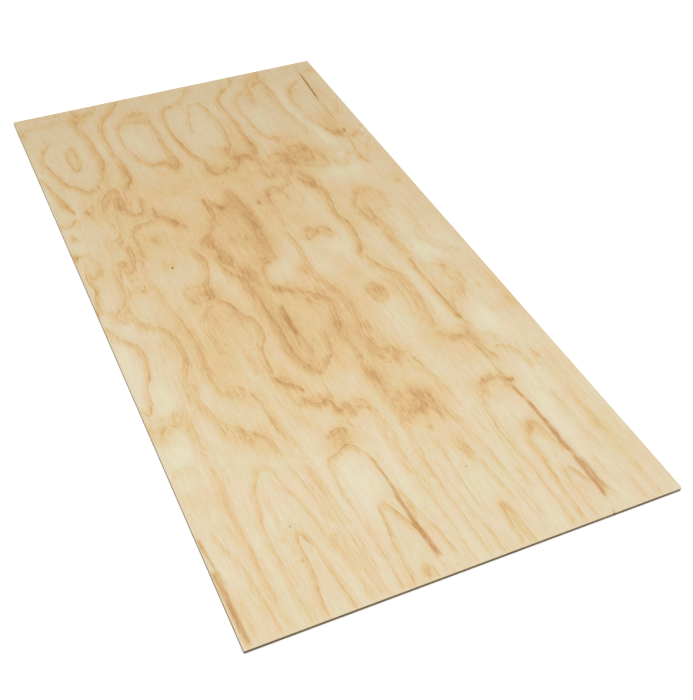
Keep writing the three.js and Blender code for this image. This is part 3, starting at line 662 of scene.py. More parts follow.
# Broad differences of tone, in the same way, with the warmth that they add
warmWashes = [
    (220,70, 55,50, 26), (90,60, 80,40, 8), (330,60, 60,50, 6), (440,145, 62,55, 24), (360,195, 36,40, 14),
    (530,60, 70,60, 5), (600,110, 60,40, 10), (820,70, 50,50, 8), (950,70, 60,70, 18), (885,200, 36,60, 12),
    (960,180, 50,90, 10), (1060,215, 34,60, 20), (1140,200, 24,130, 20), (1100,90, 70,30, 8),
    (1160,330, 30,90, 10), (230,300, 24,140, 14), (240,430, 34,80, 20), (300,480, 26,90, 26),
    (60,450, 50,70, 10), (455,468, 60,46, 16), (372,420, 26,50, 14), (478,330, 24,130, 14),
    (545,400, 26,110, 16), (715,300, 20,120, 10), (775,330, 26,140, 18), (720,440, 40,60, 20),
    (780,450, 30,70, 22), (1110,405, 34,50, 22), (1115,490, 60,60, 26), (1145,560, 60,50, 16),
    (870,470, 60,40, 12), (930,510, 60,70, 22), (150,560, 60,50, 10), (200,600, 70,60, 24),
    (225,690, 70,50, 20), (115,662, 34,44, 28), (300,560, 40,60, 14), (330,640, 90,80, 16),
    (460,620, 90,90, 20), (560,640, 70,60, 16), (590,580, 40,50, 34), (640,590, 40,40, 26),
    (700,525, 90,62, 42), (745,580, 60,60, 16), (680,650, 70,60, 14), (765,680, 60,60, 30),
    (850,650, 80,60, 28), (880,590, 60,60, 26), (950,590, 60,60, 26), (940,650, 70,50, 10),
    (1000,640, 40,60, 12), (1130,660, 60,90, 8), (60,590, 40,60, 6), (640,480, 60,40, 14),
    (190,500, 50,40, 12), (320,770, 50,55, 34), (375,825, 34,44, 30), (275,880, 60,50, 24),
    (235,760, 50,50, 20), (150,850, 50,70, 16), (150,960, 60,80, 22), (320,930, 60,80, 16),
    (240,980, 50,90, 12), (545,790, 56,44, 30), (545,880, 90,110, 24), (605,900, 46,160, 22),
    (440,960, 36,90, 26), (462,1045, 34,70, 20), (500,1000, 80,100, 20), (590,1050, 44,80, 22),
    (420,860, 50,70, 16), (400,760, 60,60, 14), (600,740, 30,60, 26), (505,740, 20,50, 22),
    (670,800, 50,60, 26), (750,770, 70,60, 20), (770,860, 70,80, 18), (690,920, 40,90, 14),
    (875,750, 44,60, 32), (885,840, 40,80, 20), (905,960, 26,110, 16), (780,1050, 70,36, 26),
    (830,980, 60,60, 10), (1020,900, 66,60, 28), (985,1020, 36,80, 22), (1065,960, 40,70, 22),
    (925,1075, 36,70, 18), (385,1030, 34,70, 20), (285,1030, 26,34, 22), (720,1040, 40,100, 10),
    (640,1000, 40,120, 14), (960,700, 60,40, 10), (1150,1000, 50,120, 8), (60,980, 40,60, 12),
    (110,1090, 34,80, 6), (190,1100, 30,90, 10), (460,1110, 34,70, 24), (500,1200, 44,110, 34),
    (350,1200, 70,80, 26), (560,1120, 44,40, 22), (600,1110, 30,40, 20), (210,1300, 70,90, 24),
    (140,1290, 50,50, 16), (400,1340, 60,110, 28), (310,1310, 70,80, 20), (250,1480, 90,160, 30),
    (190,1600, 60,120, 12), (330,1460, 60,120, 18), (530,1400, 60,140, 34), (480,1400, 40,160, 20),
    (620,1340, 70,80, 30), (670,1440, 50,110, 30), (590,1560, 100,110, 34), (520,1600, 60,80, 22),
    (735,1410, 46,110, 24), (740,1590, 60,110, 26), (790,1480, 50,120, 16), (832,1395, 50,52, 28),
    (672,1220, 44,44, 26), (780,1270, 60,60, 12), (915,1300, 36,100, 26), (945,1440, 34,130, 26),
    (920,1600, 34,110, 20), (1010,1300, 24,110, 14), (1018,1550, 30,120, 26), (290,1590, 80,80, 18),
    (400,1640, 46,60, 30), (450,1560, 60,100, 12), (1000,1160, 24,120, 14), (1120,1400, 60,60, 8),
    (1190,1500, 30,120, 6), (885,1200, 30,50, 22), (580,1270, 60,50, 16), (730,1330, 40,60, 12),
    (680,1580, 50,80, 16), (95,1700, 70,40, 16), (30,1690, 40,50, 8), (240,1830, 66,56, 24),
    (270,1700, 70,60, 14), (430,1700, 46,56, 28), (480,1775, 50,34, 28), (545,1830, 56,50, 32),
    (480,1930, 66,50, 32), (675,1780, 46,110, 34), (742,1880, 90,84, 40), (690,1720, 60,60, 24),
    (780,1660, 60,70, 24), (965,1685, 66,40, 28), (1012,1730, 44,66, 26), (962,1892, 70,40, 28),
    (1050,1810, 46,34, 20), (920,1800, 80,80, 12), (1160,1900, 44,90, 10), (150,1890, 60,60, 8),
    (330,1800, 60,110, 12), (600,1800, 40,80, 10), (700,1960, 70,40, 16), (540,1730, 50,60, 12),
    (1165,1620, 60,50, 6), (60,1990, 60,60, 10), (200,1990, 60,80, 6), (770,2060, 34,66, 22),
    (970,2090, 46,44, 20), (240,2190, 36,60, 12), (470,2175, 26,50, 12), (1150,2100, 50,120, 18),
    (1150,2240, 36,90, 12), (755,2310, 40,60, 12), (525,2250, 24,160, 12), (110,2150, 30,200, 10),
    (20,2330, 30,120, 24), (650,2100, 30,120, 8), (950,2250, 40,120, 6), (300,2200, 40,160, 5),
    (220,2350, 50,100, 6), (30,300, 50,200, -6), (90,330, 40,110, -10), (180,330, 30,110, -12),
    (262,290, 18,100, -16), (320,270, 18,120, -14), (400,300, 46,100, -20), (510,240, 18,130, -14),
    (625,290, 70,130, -14), (870,320, 40,90, -14), (1008,250, 15,120, -36), (1024,390, 14,80, -36),
    (1044,490, 16,70, -32), (1066,570, 20,60, -20), (30,760, 50,80, -14), (80,640, 16,50, -16),
    (60,900, 40,80, -6), (1050,775, 90,60, -20), (955,780, 30,50, -14), (1150,850, 60,120, -6),
    (840,880, 30,70, -12), (20,1450, 50,230, -24), (80,1250, 50,60, -18), (80,1600, 40,120, -16),
    (1085,1280, 70,66, -26), (1160,1180, 60,90, -10), (820,1160, 70,60, -18), (800,1560, 40,90, -14),
    (1075,1640, 48,90, -26), (985,1500, 22,130, -10), (965,1340, 20,90, -12), (420,1140, 24,90, -18),
    (740,1225, 44,44, -16), (100,1830, 60,60, -8), (60,1820, 44,44, -12), (600,1725, 40,44, -12),
    (870,1740, 40,110, -14), (1090,1700, 40,90, -10), (1090,1930, 34,70, -24), (1055,2060, 26,230, -20),
    (445,2100, 60,110, -24), (700,2200, 60,160, -6), (870,2330, 50,110, -12), (340,2380, 120,100, -8),
    (640,2360, 90,110, -8), (1180,2350, 50,120, -8), (60,2200, 40,160, -6), (950,2010, 36,50, -16),
    (560,2080, 26,110, -12), (1000,760, 40,60, -8), (1100,1100, 60,90, -6), (345,1610, 14,30, -10),
    (150,2250, 16,140, -6), (630,1180, 24,60, -14), (532,2195, 3,24, -60), (150,1500, 34,90, -8),
    (320,1000, 50,60, 8), (450,2090, 40,60, 4), (600,900, 650,420, 10), (600,1500, 700,300, 3),
    (670,680, 38,64, 28), (760,970, 38,64, 24), (890,1730, 38,70, 25), (410,1830, 36,60, 18),
    (780,1180, 36,54, 24), (960,790, 36,50, 20), (1060,1950, 44,62, 24), (820,1300, 30,60, 15),
    (370,640, 34,50, 16), (720,2030, 34,70, 16), (970,1970, 30,40, 16), (1060,1620, 34,70, 15),
    (120,720, 34,50, 15), (360,920, 34,50, 14), (260,1040, 30,50, 12), (1220,840, 60,170, 22),
    (1220,1180, 55,150, 15), (1220,1560, 55,150, 26), (1220,1910, 50,90, 16), (1200,2290, 70,110, 18),
    (1120,820, 44,56, 16), (820,860, 32,50, 17), (950,1760, 30,40, 13), (1040,1870, 34,40, 13),
    (500,870, 32,50, 14), (450,640, 34,44, 12), (560,1900, 34,50, 12), (560,700, 34,44, 12),
    (1220,1390, 40,70, 10), (200,1630, 46,70, -30), (220,1520, 34,50, -13), (270,1340, 38,66, -26),
    (140,1300, 34,60, -14), (780,290, 30,110, -22), (1050,190, 24,60, -13), (10,490, 34,110, -30),
    (10,2420, 30,50, -22), (10,2230, 26,70, -26), (10,990, 30,90, -12), (1200,300, 26,120, -12),
    (1140,2090, 34,100, -10), (1060,660, 13,14, -30), (880,740, 30,40, -16), (110,1900, 40,50, -14),
    (770,2080, 30,50, -10), (290,1450, 34,60, -12), (750,1120, 30,50, 10), (530,2030, 30,50, 12),
    (220,2210, 30,50, -12), (1030,1320, 28,50, 12), (1050,1070, 28,40, 12), (740,210, 28,50, -10),
    (1110,110, 50,50, -10), (280,1580, 34,50, -10), (230,530, 28,40, 16), (420,260, 16,60, 18),
    (260,820, 24,40, 16), (560,1030, 26,40, 16), (470,1710, 24,40, 16), (380,1760, 22,40, 15),
    (430,1960, 28,50, 14), (760,1740, 26,40, 15), (690,2050, 24,50, 14), (960,2020, 24,40, 14),
    (1020,1990, 20,40, 16), (540,1440, 26,44, 15), (140,1410, 26,44, 14), (420,1180, 24,40, 14),
    (900,1430, 24,44, 14), (1050,640, 22,30, 14), (940,860, 26,40, 14), (700,600, 26,34, 14),
    (1170,880, 28,40, 12), (380,2220, 28,50, -12), (780,390, 26,50, -12), (760,1960, 26,40, 10),
    (290,350, 20,50, -12), (430,1840, 26,44, 12), (580,90, 26,40, -12), (200,2110, 26,50, -12),
    (200,1270, 26,44, -12), (1050,250, 16,70, -12), (520,2230, 22,50, -12), (1060,1760, 26,44, 12),
    (840,700, 26,36, 12), (1040,360, 14,40, -10), (130,1300, 26,40, -10), (940,740, 26,36, 12),
    (870,1680, 24,44, 12), (730,210, 26,44, -10), (800,1540, 26,44, 12), (620,80, 24,40, -10),
    (550,800, 24,36, 12), (760,610, 24,36, 12), (1040,1610, 24,36, 10), (810,1740, 24,40, 12),
    (970,1760, 24,40, 12), (140,1700, 24,44, -12), (790,240, 20,40, -10), (830,1300, 22,40, 12),
    (680,740, 24,36, 12), (400,1810, 22,40, 12), (680,900, 24,36, 12), (420,530, 22,36, 12),
    (880,1900, 22,36, 12), (780,400, 20,36, -10), (940,1960, 22,36, 10), (800,1200, 22,36, 12),
    (490,560, 22,36, 10), (780,1470, 22,40, 10), (810,900, 22,36, 10), (330,1200, 20,36, -10),
    (10,1000, 14,60, -12), (10,1190, 14,60, -12), (10,770, 14,50, -12), (10,440, 14,50, -12),
    (1100,1570, 22,40, 10), (780,100, 20,36, -10), (1130,150, 20,36, -10), (890,1640, 20,36, 10),
    (560,1710, 20,36, 10), (460,800, 20,36, 10), (970,240, 16,50, -10), (110,870, 20,36, 10),
    (1210,1530, 20,60, 10), (1210,560, 24,56, -32), (600,1680, 34,50, 26), (750,1790, 30,40, 12),
]
# Reddish brown resin and bark, as the lines are. The lines from 1144,70 to 1132,324 run along the split:
# a stain on its lips that is partly painted shade of the split.
resinAndSplitShadeLines = [
    (8, 75, 3,2092, 7,2140, 12,2182, 15,2206), (15, 90, 9,2196, 12,2260, 14,2322, 13,2382, 16,2440),
    (5, 35, 15,2202, 24,2230, 28,2262), (7, 85, 518,2006, 523,2050, 525,2092, 527,2132, 529,2168),
    (12, 90, 525,2145, 525,2200, 526,2250), (13, 80, 1022,2078, 1021,2140, 1021,2200),
    (6, 40, 1028,2226, 1037,2260, 1044,2292, 1044,2322), (6, 35, 1035,2364, 1049,2384, 1057,2402),
    (5, 35, 520,1700, 521,1760, 520,1800), (8, 35, 520,1860, 521,1890, 529,1915),
    (14, 40, 543,790, 545,806), (12, 50, 892,1175, 884,1200, 879,1216), (9, 30, 888,1224, 886,1246),
    (8, 30, 672,816, 675,834), (6, 35, 778,466, 776,484), (8, 30, 792,1052, 796,1062),
    (6, 30, 402,1648, 404,1662), (8, 35, 1022,1612, 1021,1630), (6, 30, 1146,0, 1146,40, 1143,78),
    (8, 30, 1031,1812, 1030,1830), (5, 55, 1008,2418, 1006,2440), (9, 30, 521,1440, 523,1500, 521,1556),
    (9, 55, 765,1920, 768,1956, 767,1992), (10, 50, 726,1970, 719,1988, 721,2004),
    (6, 60, 1129,556, 1127,600, 1122,642, 1120,682, 1125,722, 1130,756),
    (6, 55, 1137,318, 1134,360, 1134,400, 1135,440), (6, 100, 1140,508, 1135,526, 1131,546),
    (8, 60, 1002,1907, 1014,1912, 1027,1914), (10, 55, 533,784, 541,795, 548,804, 560,807),
    (4, 45, 184,516, 187,530, 187,546),
    (17, 62, 538,1342, 534,1372, 531,1400, 531,1440, 533,1475, 537,1505),
    (8, 45, 540,1500, 542,1530, 543,1560, 546,1600), (13, 100, 526,2225, 529,2280, 532,2330, 534,2380),
    (6, 80, 532,2350, 531,2390), (6, 80, 536,2350, 541,2392), (5, 50, 538,2196, 541,2230, 540,2262),
    (8, 35, 1003,1742, 1009,1790, 1008,1840, 1009,1884, 1013,1915),
    (10, 85, 1010,1925, 1014,1960, 1018,2002),
    (13, 95, 1018,1995, 1021,2060, 1020,2120, 1019,2190, 1024,2236),
    (9, 100, 1020,2225, 1021,2290, 1022,2350, 1018,2392),
    (8, 85, 1027,2236, 1033,2290, 1036,2340, 1040,2380), (15, 50, 1026,2246, 1029,2300, 1028,2376),
    # along the split: a stain on its lips, partly painted shade of the split
    (7, 45, 1144,70, 1143,85, 1142,104, 1141,118),
    (8, 85, 1141,108, 1140,130, 1139,150, 1139,172, 1138,196),
    (8, 70, 1138,190, 1138,208, 1137,228, 1136,242, 1135,262, 1135,284),
    (5, 35, 1134,284, 1133,300, 1132,324),
]
# Pinkish places, as the pale ones are
blushPatches = [
    (885,215, 18,34, 45), (868,200, 30,60, 15), (480,235, 12,60, 20), (980,120, 12,90, 20),
    (355,195, 12,16, 30), (930,300, 60,140, 12), (950,420, 40,60, 12), (850,690, 22,20, 20),
    (350,190, 14,14, 20), (1006,2130, 30,70, 5), (985,2340, 22,90, 16), (490,2300, 24,90, 10),
    (200,1300, 30,200, 4), (110,1530, 30,60, 10), (1023,2150, 12,60, 45), (526,2200, 10,50, 25),
    (1030,2300, 14,60, 30), (14,2330, 14,90, 25),
]
# Small knots and specks: place, radius, depth
pinKnots = [
    (285,1048, 3.4, 100), (598,668, 3, 60), (740,2151, 3, 50), (232,2151, 3, 50), (1027,1914, 4, 40),
    (1139,518, 2, 80), (1136,532, 2.2, 90), (1133,546, 1.8, 70),
]


# How strongly the marks show. Warmth runs from 0 in the palest wood to 1 in the darkest.
figure = {
    "bareWarmth": 0.219,           # of wood without a mark
    "washDepth": 0.64,
    "patchDepth": 0.42,
    "paleDepth": 0.13,
    "blushDepth": 0.55,
    "haloDepth": 0.20,             # of the soft brown about a latewood line
    "lineDepth": 0.45,             # of its crisp core
    "faintPower": 0.6,             # below 1, so that faint lines keep more of their core
    "finestWidth": 11.0,           # mm; wider lines get a fainter core
    "coreShift": 3.0,              # mm that the core stands towards the line's sharp side
    "coreReach": (5.5, 1.4),       # how far it goes: mm, and a share of the line's width
    "coreHold": 0.6,               # the share of that over which it stays whole
    "rivalry": 0.4,                # where lines meet the deeper one shows, the more so the smaller this is
    "ringedDepth": 0.25,           # deeper lines have fine rings beside them
    "farShadeLength": 1950.0,          # mm from the far end over which its painted shade fades out
}


paintedFields = ("warmth", "soft", "resin", "farShade", "blush", "ringGap", "coreSide", "coreDepth")


# The fields of the figure over the painting's own grid, and its places across and along
def paintFields():
    countX, countY = painting["gridSize"]
    marginX, marginY = painting["margin"]
    xs = np.linspace(-marginX, sheetWidth + marginX, countX)
    ys = np.linspace(-marginY, sheetLength + marginY, countY)
    halo, soft, pale, wash, resin, blush, coreDepth = (np.zeros((countY, countX)) for _ in range(7))
    farSide = 9.0        # widths from a line, where no core reaches
    coreSide = np.full((countY, countX), farSide)
    score = np.full((countY, countX), np.inf)
    gap = np.full((countY, countX), painting["ringReach"])
    coreReach, coreWiden = figure["coreReach"]
    for width, percent, *points in latewoodLines:
        depth = percent / 100
        paintLine(halo, xs, ys, width, depth, points, 0.0)
        where, distance, fade = measureLine(xs, ys, points, painting["ringReach"])
        nearest = np.abs(distance)
        curved = len(points) > 4
        if curved and depth > figure["ringedDepth"]:
            gap[where] = np.minimum(gap[where], nearest)
        ranked = nearest / (figure["rivalry"] + depth)
        wins = ranked < score[where]
        score[where][wins] = ranked[wins]
        coreSide[where][wins] = np.clip((distance + figure["coreShift"]) / width, -farSide, farSide)[wins]
        held = np.clip(1 + figure["coreHold"] - nearest / (coreReach + width * coreWiden), 0, 1)
        narrowness = min(1.0, figure["finestWidth"] / width) ** 0.5
        coreDepth[where][wins] = (depth ** figure["faintPower"] * fade * held * narrowness)[wins]
    for width, percent, *points in resinAndSplitShadeLines:
        paintLine(resin, xs, ys, width, percent / 100, points, painting["streakShare"])
    for field, patches in ((soft, latewoodPatches), (pale, palePatches), (blush, blushPatches)):
        for *patch, percent in patches:
            where, value = patchValue(xs, ys, *patch)
            layOver(field[where], percent / 100 * value)
    for *patch, percent in warmWashes:
        where, value = patchValue(xs, ys, *patch)
        wash[where] += percent / 100 * value
    warmth = (figure["bareWarmth"] + figure["washDepth"] * wash + figure["haloDepth"] * halo
              - figure["paleDepth"] * pale)
    # painted shade: darker and more yellow towards the far end, as the light falls off there
    farShade = np.clip(1 - ys / figure["farShadeLength"], 0, 1)[:, None] + np.zeros_like(warmth)
    fields = {"warmth": warmth, "soft": soft * figure["patchDepth"], "resin": resin, "farShade": farShade,
              "blush": blush * figure["blushDepth"], "ringGap": gap, "coreSide": coreSide,
              "coreDepth": coreDepth * figure["lineDepth"]}
    return fields, xs, ys


# The sheet's outline, and the holes through its face veneer, in mm from the middle of the sheet
outline = {
    "cornerRadii": (2.0, 9.0, 2.0, 2.0),     # counter-clockwise from the near left; the second is knocked
    "cornerSteps": 6,
    "chipPlace": rightEdge - 213.0,
    "chipWidth": 8.0,
    "chipReach": 1.6,
    "chipWaver": (0.12, 5.3),       # of its edge: share of its reach, turn between points
    "chipLean": 0.3,                # the least that its walls slope away from the edge
    "chipTaper": (0.95, 0.9),       # its width at the arris's middle and foot over that at the face
    "chipSteps": 8,
    "splitPlace": (rightEdge - 77.0, farEdge - 197.0),
    "splitLength": 225.0,
    "splitWidth": 3.5,
    "splitDrift": 12.0,             # the near end stands this far to the left of the far end
    "splitWaver": (0.14, 9.0),      # of its width: share, turns along each half
    "splitFray": 0.12,              # share of its width that splinters take or leave
    "splitBend": (0.5, 4.2),        # mm to each side, and turns along each half
    "splitSteps": 50,
    "splitSeed": 7,
    "pitPlace": (283.0 - rightEdge, farEdge - 1068.0),
    "pitSize": (5.0, 7.0),
    "pitSteps": 20,
    "floorShare": 0.4,              # width of the split's and the chip's floor over their mouth
    "holeClear": 1.4,               # mm beside a hole that stay free of grid points
    "chipClear": 1.0,               # and beside the chip
    "cornerClear": 0.05,            # and beside a corner, along the edge
    "cornerWindow": 0.2,            # mm that the mesh opens beyond a corner's radius
}


# Points round the sheet from the near left corner, counter-clockwise: place, inward direction, in the chip
def outlineStations(columns, rows, chipped):
    sides = [  # the side's places, how a place becomes a point, the inward direction, the corner after it
        (columns, lambda p: (p, -farEdge), (0, 1), (1, -1)),
        (rows, lambda p: (rightEdge, p), (-1, 0), (1, 1)),
        (columns[::-1], lambda p: (p, farEdge), (0, -1), (-1, 1)),
        (rows[::-1], lambda p: (-rightEdge, p), (1, 0), (-1, -1)),
    ]
    chipSpace = outline["chipWidth"] / 2 + outline["chipClear"]
    chipLow, chipHigh = outline["chipPlace"] - chipSpace, outline["chipPlace"] + chipSpace
    chipWaver, chipTurn = outline["chipWaver"]
    stations = []
    for k, (places, toPoint, inward, corner) in enumerate(sides):
        half = rightEdge if k % 2 == 0 else farEdge
        startRadius, radius = outline["cornerRadii"][k], outline["cornerRadii"][(k + 1) % 4]
        startGap, endGap = startRadius + outline["cornerClear"], radius + outline["cornerClear"]
        ahead = 1 if k < 2 else -1
        for p in places:
            if not -half + startGap < ahead * p < half - endGap:
                continue
            if k == 0 and chipped and chipLow < p < chipHigh:
                continue
            stations.append((*toPoint(p), *inward, 0))
        if k == 0 and chipped:
            notch = []
            for step in range(outline["chipSteps"] + 1):
                turn = math.pi * (1 - step / outline["chipSteps"])
                reach = outline["chipReach"] * (1 + chipWaver * math.sin(chipTurn * step))
                x = outline["chipPlace"] + outline["chipWidth"] / 2 * math.cos(turn)
                y = -farEdge + reach * math.sin(turn)
                notch.append((x, y, math.cos(turn), max(math.sin(turn), outline["chipLean"]), 1))
            split = sum(s[0] < outline["chipPlace"] for s in stations)
            stations = stations[:split] + notch + stations[split:]
        middle = (corner[0] * (rightEdge - radius), corner[1] * (farEdge - radius))
        for step in range(outline["cornerSteps"] + 1):
            turn = math.radians(90 * (k - 1) + 90 * step / outline["cornerSteps"])
            stations.append((middle[0] + radius * math.cos(turn), middle[1] + radius * math.sin(turn),
                             -math.cos(turn), -math.sin(turn), 0))
    return np.array(stations)


# One ring of points: the outline moved inwards, at a height, with the chip as wide as its share says
def ringPoints(stations, inset, height, chipShare=1.0):
    x = stations[:, 0].copy()
    inChip = stations[:, 4] == 1
    x[inChip] = outline["chipPlace"] + (x[inChip] - outline["chipPlace"]) * chipShare
    x += inset * stations[:, 2]
    y = stations[:, 1] + inset * stations[:, 3]
    return np.column_stack([x, y, np.full(len(x), height)])


# The split's edge at a share of its width, ragged as torn wood is
def splitLoop(share, random):
    count = outline["splitSteps"] * 2
    middleX, middleY = outline["splitPlace"]
    waver, waverTurns = outline["splitWaver"]
    bendReach, bendTurns = outline["splitBend"]
    fray = outline["splitFray"]
    loop = []
    for k in range(count):
        turn = 2 * math.pi * k / count
        along = math.sin(turn)
        across = math.cos(turn) * outline["splitWidth"] / 2 * share
        across *= 1 - waver + waver * math.sin(waverTurns * along + 1.0) + random.uniform(-fray, fray)
        bend = bendReach * math.sin(bendTurns * along)
        loop.append((middleX + across + outline["splitDrift"] * along / 2 + bend,
                     middleY + outline["splitLength"] * along / 2))
    return loop


def pitLoop():
    middleX, middleY = outline["pitPlace"]
    width, length = outline["pitSize"]
    turns = [2 * math.pi * k / outline["pitSteps"] for k in range(outline["pitSteps"])]
    return [(middleX + width / 2 * math.cos(a), middleY + length / 2 * math.sin(a)) for a in turns]


# Which points lie inside a loop, by how often it is crossed to one side of them
def insideLoop(points, loop):
    x, y = np.array(points, float).reshape(-1, 2, 1).swapaxes(0, 1)
    a = np.array(loop)
    b = np.roll(a, -1, axis=0)
    crosses = (a[:, 1] > y) != (b[:, 1] > y)
    slope = (b[:, 0] - a[:, 0]) / np.where(b[:, 1] == a[:, 1], 1e-9, b[:, 1] - a[:, 1])
    return (crosses & (x < a[:, 0] + (y - a[:, 1]) * slope)).sum(1) % 2 == 1


# Triangles that fill the first loop, less the others. Their numbers count through the loops and the
# extra points.
def fillLoops(loops, extra):
    flat = sum(loops, []) + extra
    edges = []
    first = 0
    for loop in loops:
        edges += [(first + i, first + (i + 1) % len(loop)) for i in range(len(loop))]
        first += len(loop)
    made = delaunay_2d_cdt([Vector(p) for p in flat], edges, [], 1, 1e-7)
    triangles = [[made[3][i][0] for i in face] for face in made[2]]
    middles = np.array([[sum(flat[i][c] for i in face) / 3 for c in (0, 1)] for face in triangles])
    keep = insideLoop(middles, loops[0])
    for hole in loops[1:]:
        keep &= ~insideLoop(middles, hole)
    return [face for face, kept in zip(triangles, keep) if kept]


# The cells of a grid that hold the stretch from low to high
def cellRange(places, low, high):
    first = max(int(np.searchsorted(places, low)) - 1, 0)
    last = min(int(np.searchsorted(places, high)), len(places) - 1)
    return first, last


# The points round a window in the grid. Where it meets the rim of the sheet, that run of the rim stands in.
def windowBorder(xs, ys, grid, rim):
    border = [(x, ys[0]) for x in xs[:-1]]
    border += [(xs[-1], y) for y in ys[:-1]]
    border += [(x, ys[-1]) for x in xs[:0:-1]]
    border += [(xs[0], y) for y in ys[:0:-1]]
    columns, rows = grid
    onRim = [x in (columns[0], columns[-1]) or y in (rows[0], rows[-1]) for x, y in border]
    if not any(onRim):
        return border
    turn = next(i for i in range(len(border)) if not onRim[i] and onRim[i - 1])
    kept = [i % len(border) for i in range(turn, turn + len(border)) if not onRim[i % len(border)]]
    near = plies["arrisEase"]
    within = [xs[0] - near < x < xs[-1] + near and ys[0] - near < y < ys[-1] + near for x, y in rim]
    turn = next(i for i in range(len(rim)) if within[i] and not within[i - 1])
    run = rim[turn:] + rim[:turn]
    return run[:sum(within)] + [border[i] for i in kept]


# A closed mesh, put together from rings, walls, filled loops and grids. A face's kind is the number of
# its material.
class Shell:
    def __init__(self):
        self.points = []
        self.faces = []
        self.kinds = []
        self.known = {}

    # the number of the point here, made if it is new
    def point(self, x, y, z):
        key = (round(x, 2), round(y, 2), round(z, 2))
        if key not in self.known:
            self.known[key] = len(self.points)
            self.points.append((x, y, z))
        return self.known[key]

    def ring(self, points):
        return [self.point(*p) for p in points]

    def wall(self, upper, lower, kind):
        for i in range(len(upper)):
            j = (i + 1) % len(upper)
            face = [upper[i], lower[i], lower[j], upper[j]]
            face = [v for k, v in enumerate(face) if v not in face[:k]]
            if len(face) > 2:
                self.faces.append(face)
                self.kinds.append(kind)

    def fill(self, loops, extra, height, kind):
        numbers = [self.point(*p, height) for p in sum(loops, []) + extra]
        for face in fillLoops(loops, extra):
            self.faces.append([numbers[i] for i in face])
            self.kinds.append(kind)

    # a grid of quads, with windows that are filled round a hole or up to the outline
    def grid(self, columns, rows, height, rim, windows, kind):
        opened = np.zeros((len(rows) - 1, len(columns) - 1), bool)
        for low, high, hole in windows:
            c0, c1 = cellRange(columns, low[0], high[0])
            r0, r1 = cellRange(rows, low[1], high[1])
            opened[r0:r1, c0:c1] = True
            border = windowBorder(columns[c0:c1 + 1], rows[r0:r1 + 1], (columns, rows), rim)
            inner = [(x, y) for x in columns[c0 + 1:c1] for y in rows[r0 + 1:r1]]
            if hole:
                middle = sum(x for x, y in hole) / len(hole)
                clear = outline["holeClear"]
                widened = [(x + math.copysign(clear, x - middle), y) for x, y in hole]
                inner = [p for p, taken in zip(inner, insideLoop(inner, widened)) if not taken]
                self.fill([border, hole], inner, height, kind)
            else:
                inner = [p for p, kept in zip(inner, insideLoop(inner, border)) if kept]
                self.fill([border], inner, height, kind)
        for r, c in zip(*np.nonzero(~opened)):
            corners = ((c, r), (c + 1, r), (c + 1, r + 1), (c, r + 1))
            self.faces.append([self.point(columns[i], rows[j], height) for i, j in corners])
            self.kinds.append(kind)

    def toObject(self, name, materials):
        mesh = bpy.data.meshes.new(name)
        mesh.from_pydata((np.array(self.points) * millimetre).tolist(), [], self.faces)
        for material in materials:
            mesh.materials.append(material)
        mesh.polygons.foreach_set("material_index", self.kinds)
        work = bmesh.new()
        work.from_mesh(mesh)
        bmesh.ops.recalc_face_normals(work, faces=work.faces)
        openEdges = sum(not edge.is_manifold for edge in work.edges)
        work.to_mesh(mesh)
        work.free()
        piece = addObject(name, mesh)
        print(f"{name}: {len(self.faces)} faces, {openEdges} open edges")
        return piece


# The plies from the top down: the face, three inner plies and the back
plies = {
    "facePly": 1.5,
    "faceColumns": 343,            # points across the face, which carry the painted figure
    "faceRows": 268,
    "rowStretch": 1.45,            # rows at the far end stand this much wider apart than at the near end
    "coreStep": 9.0,               # mm between points along the edges of the inner plies
    "coreInset": 0.12,             # mm that they stand back from the face and the back
    "crossInset": 0.02,            # mm that the middle one does
    "crossSlope": 0.01,            # mm of height on each side of it where the edge steps out
    "backColumns": 60,
    "backRows": 120,
    "arrisEase": 0.5,              # mm that the arris is eased by sanding
    "arrisRound": 0.3,             # how far in and down its middle lies, as a share of that
    "sawDepth": 0.1,               # mm that the saw leaves the edge rough
    "sawSeed": 11,
    "windowGap": 3.0,              # mm of finer mesh about the split and the pit
    "chipWindow": (6.0, 4.0),      # and to each side of the chip and inwards from it
}


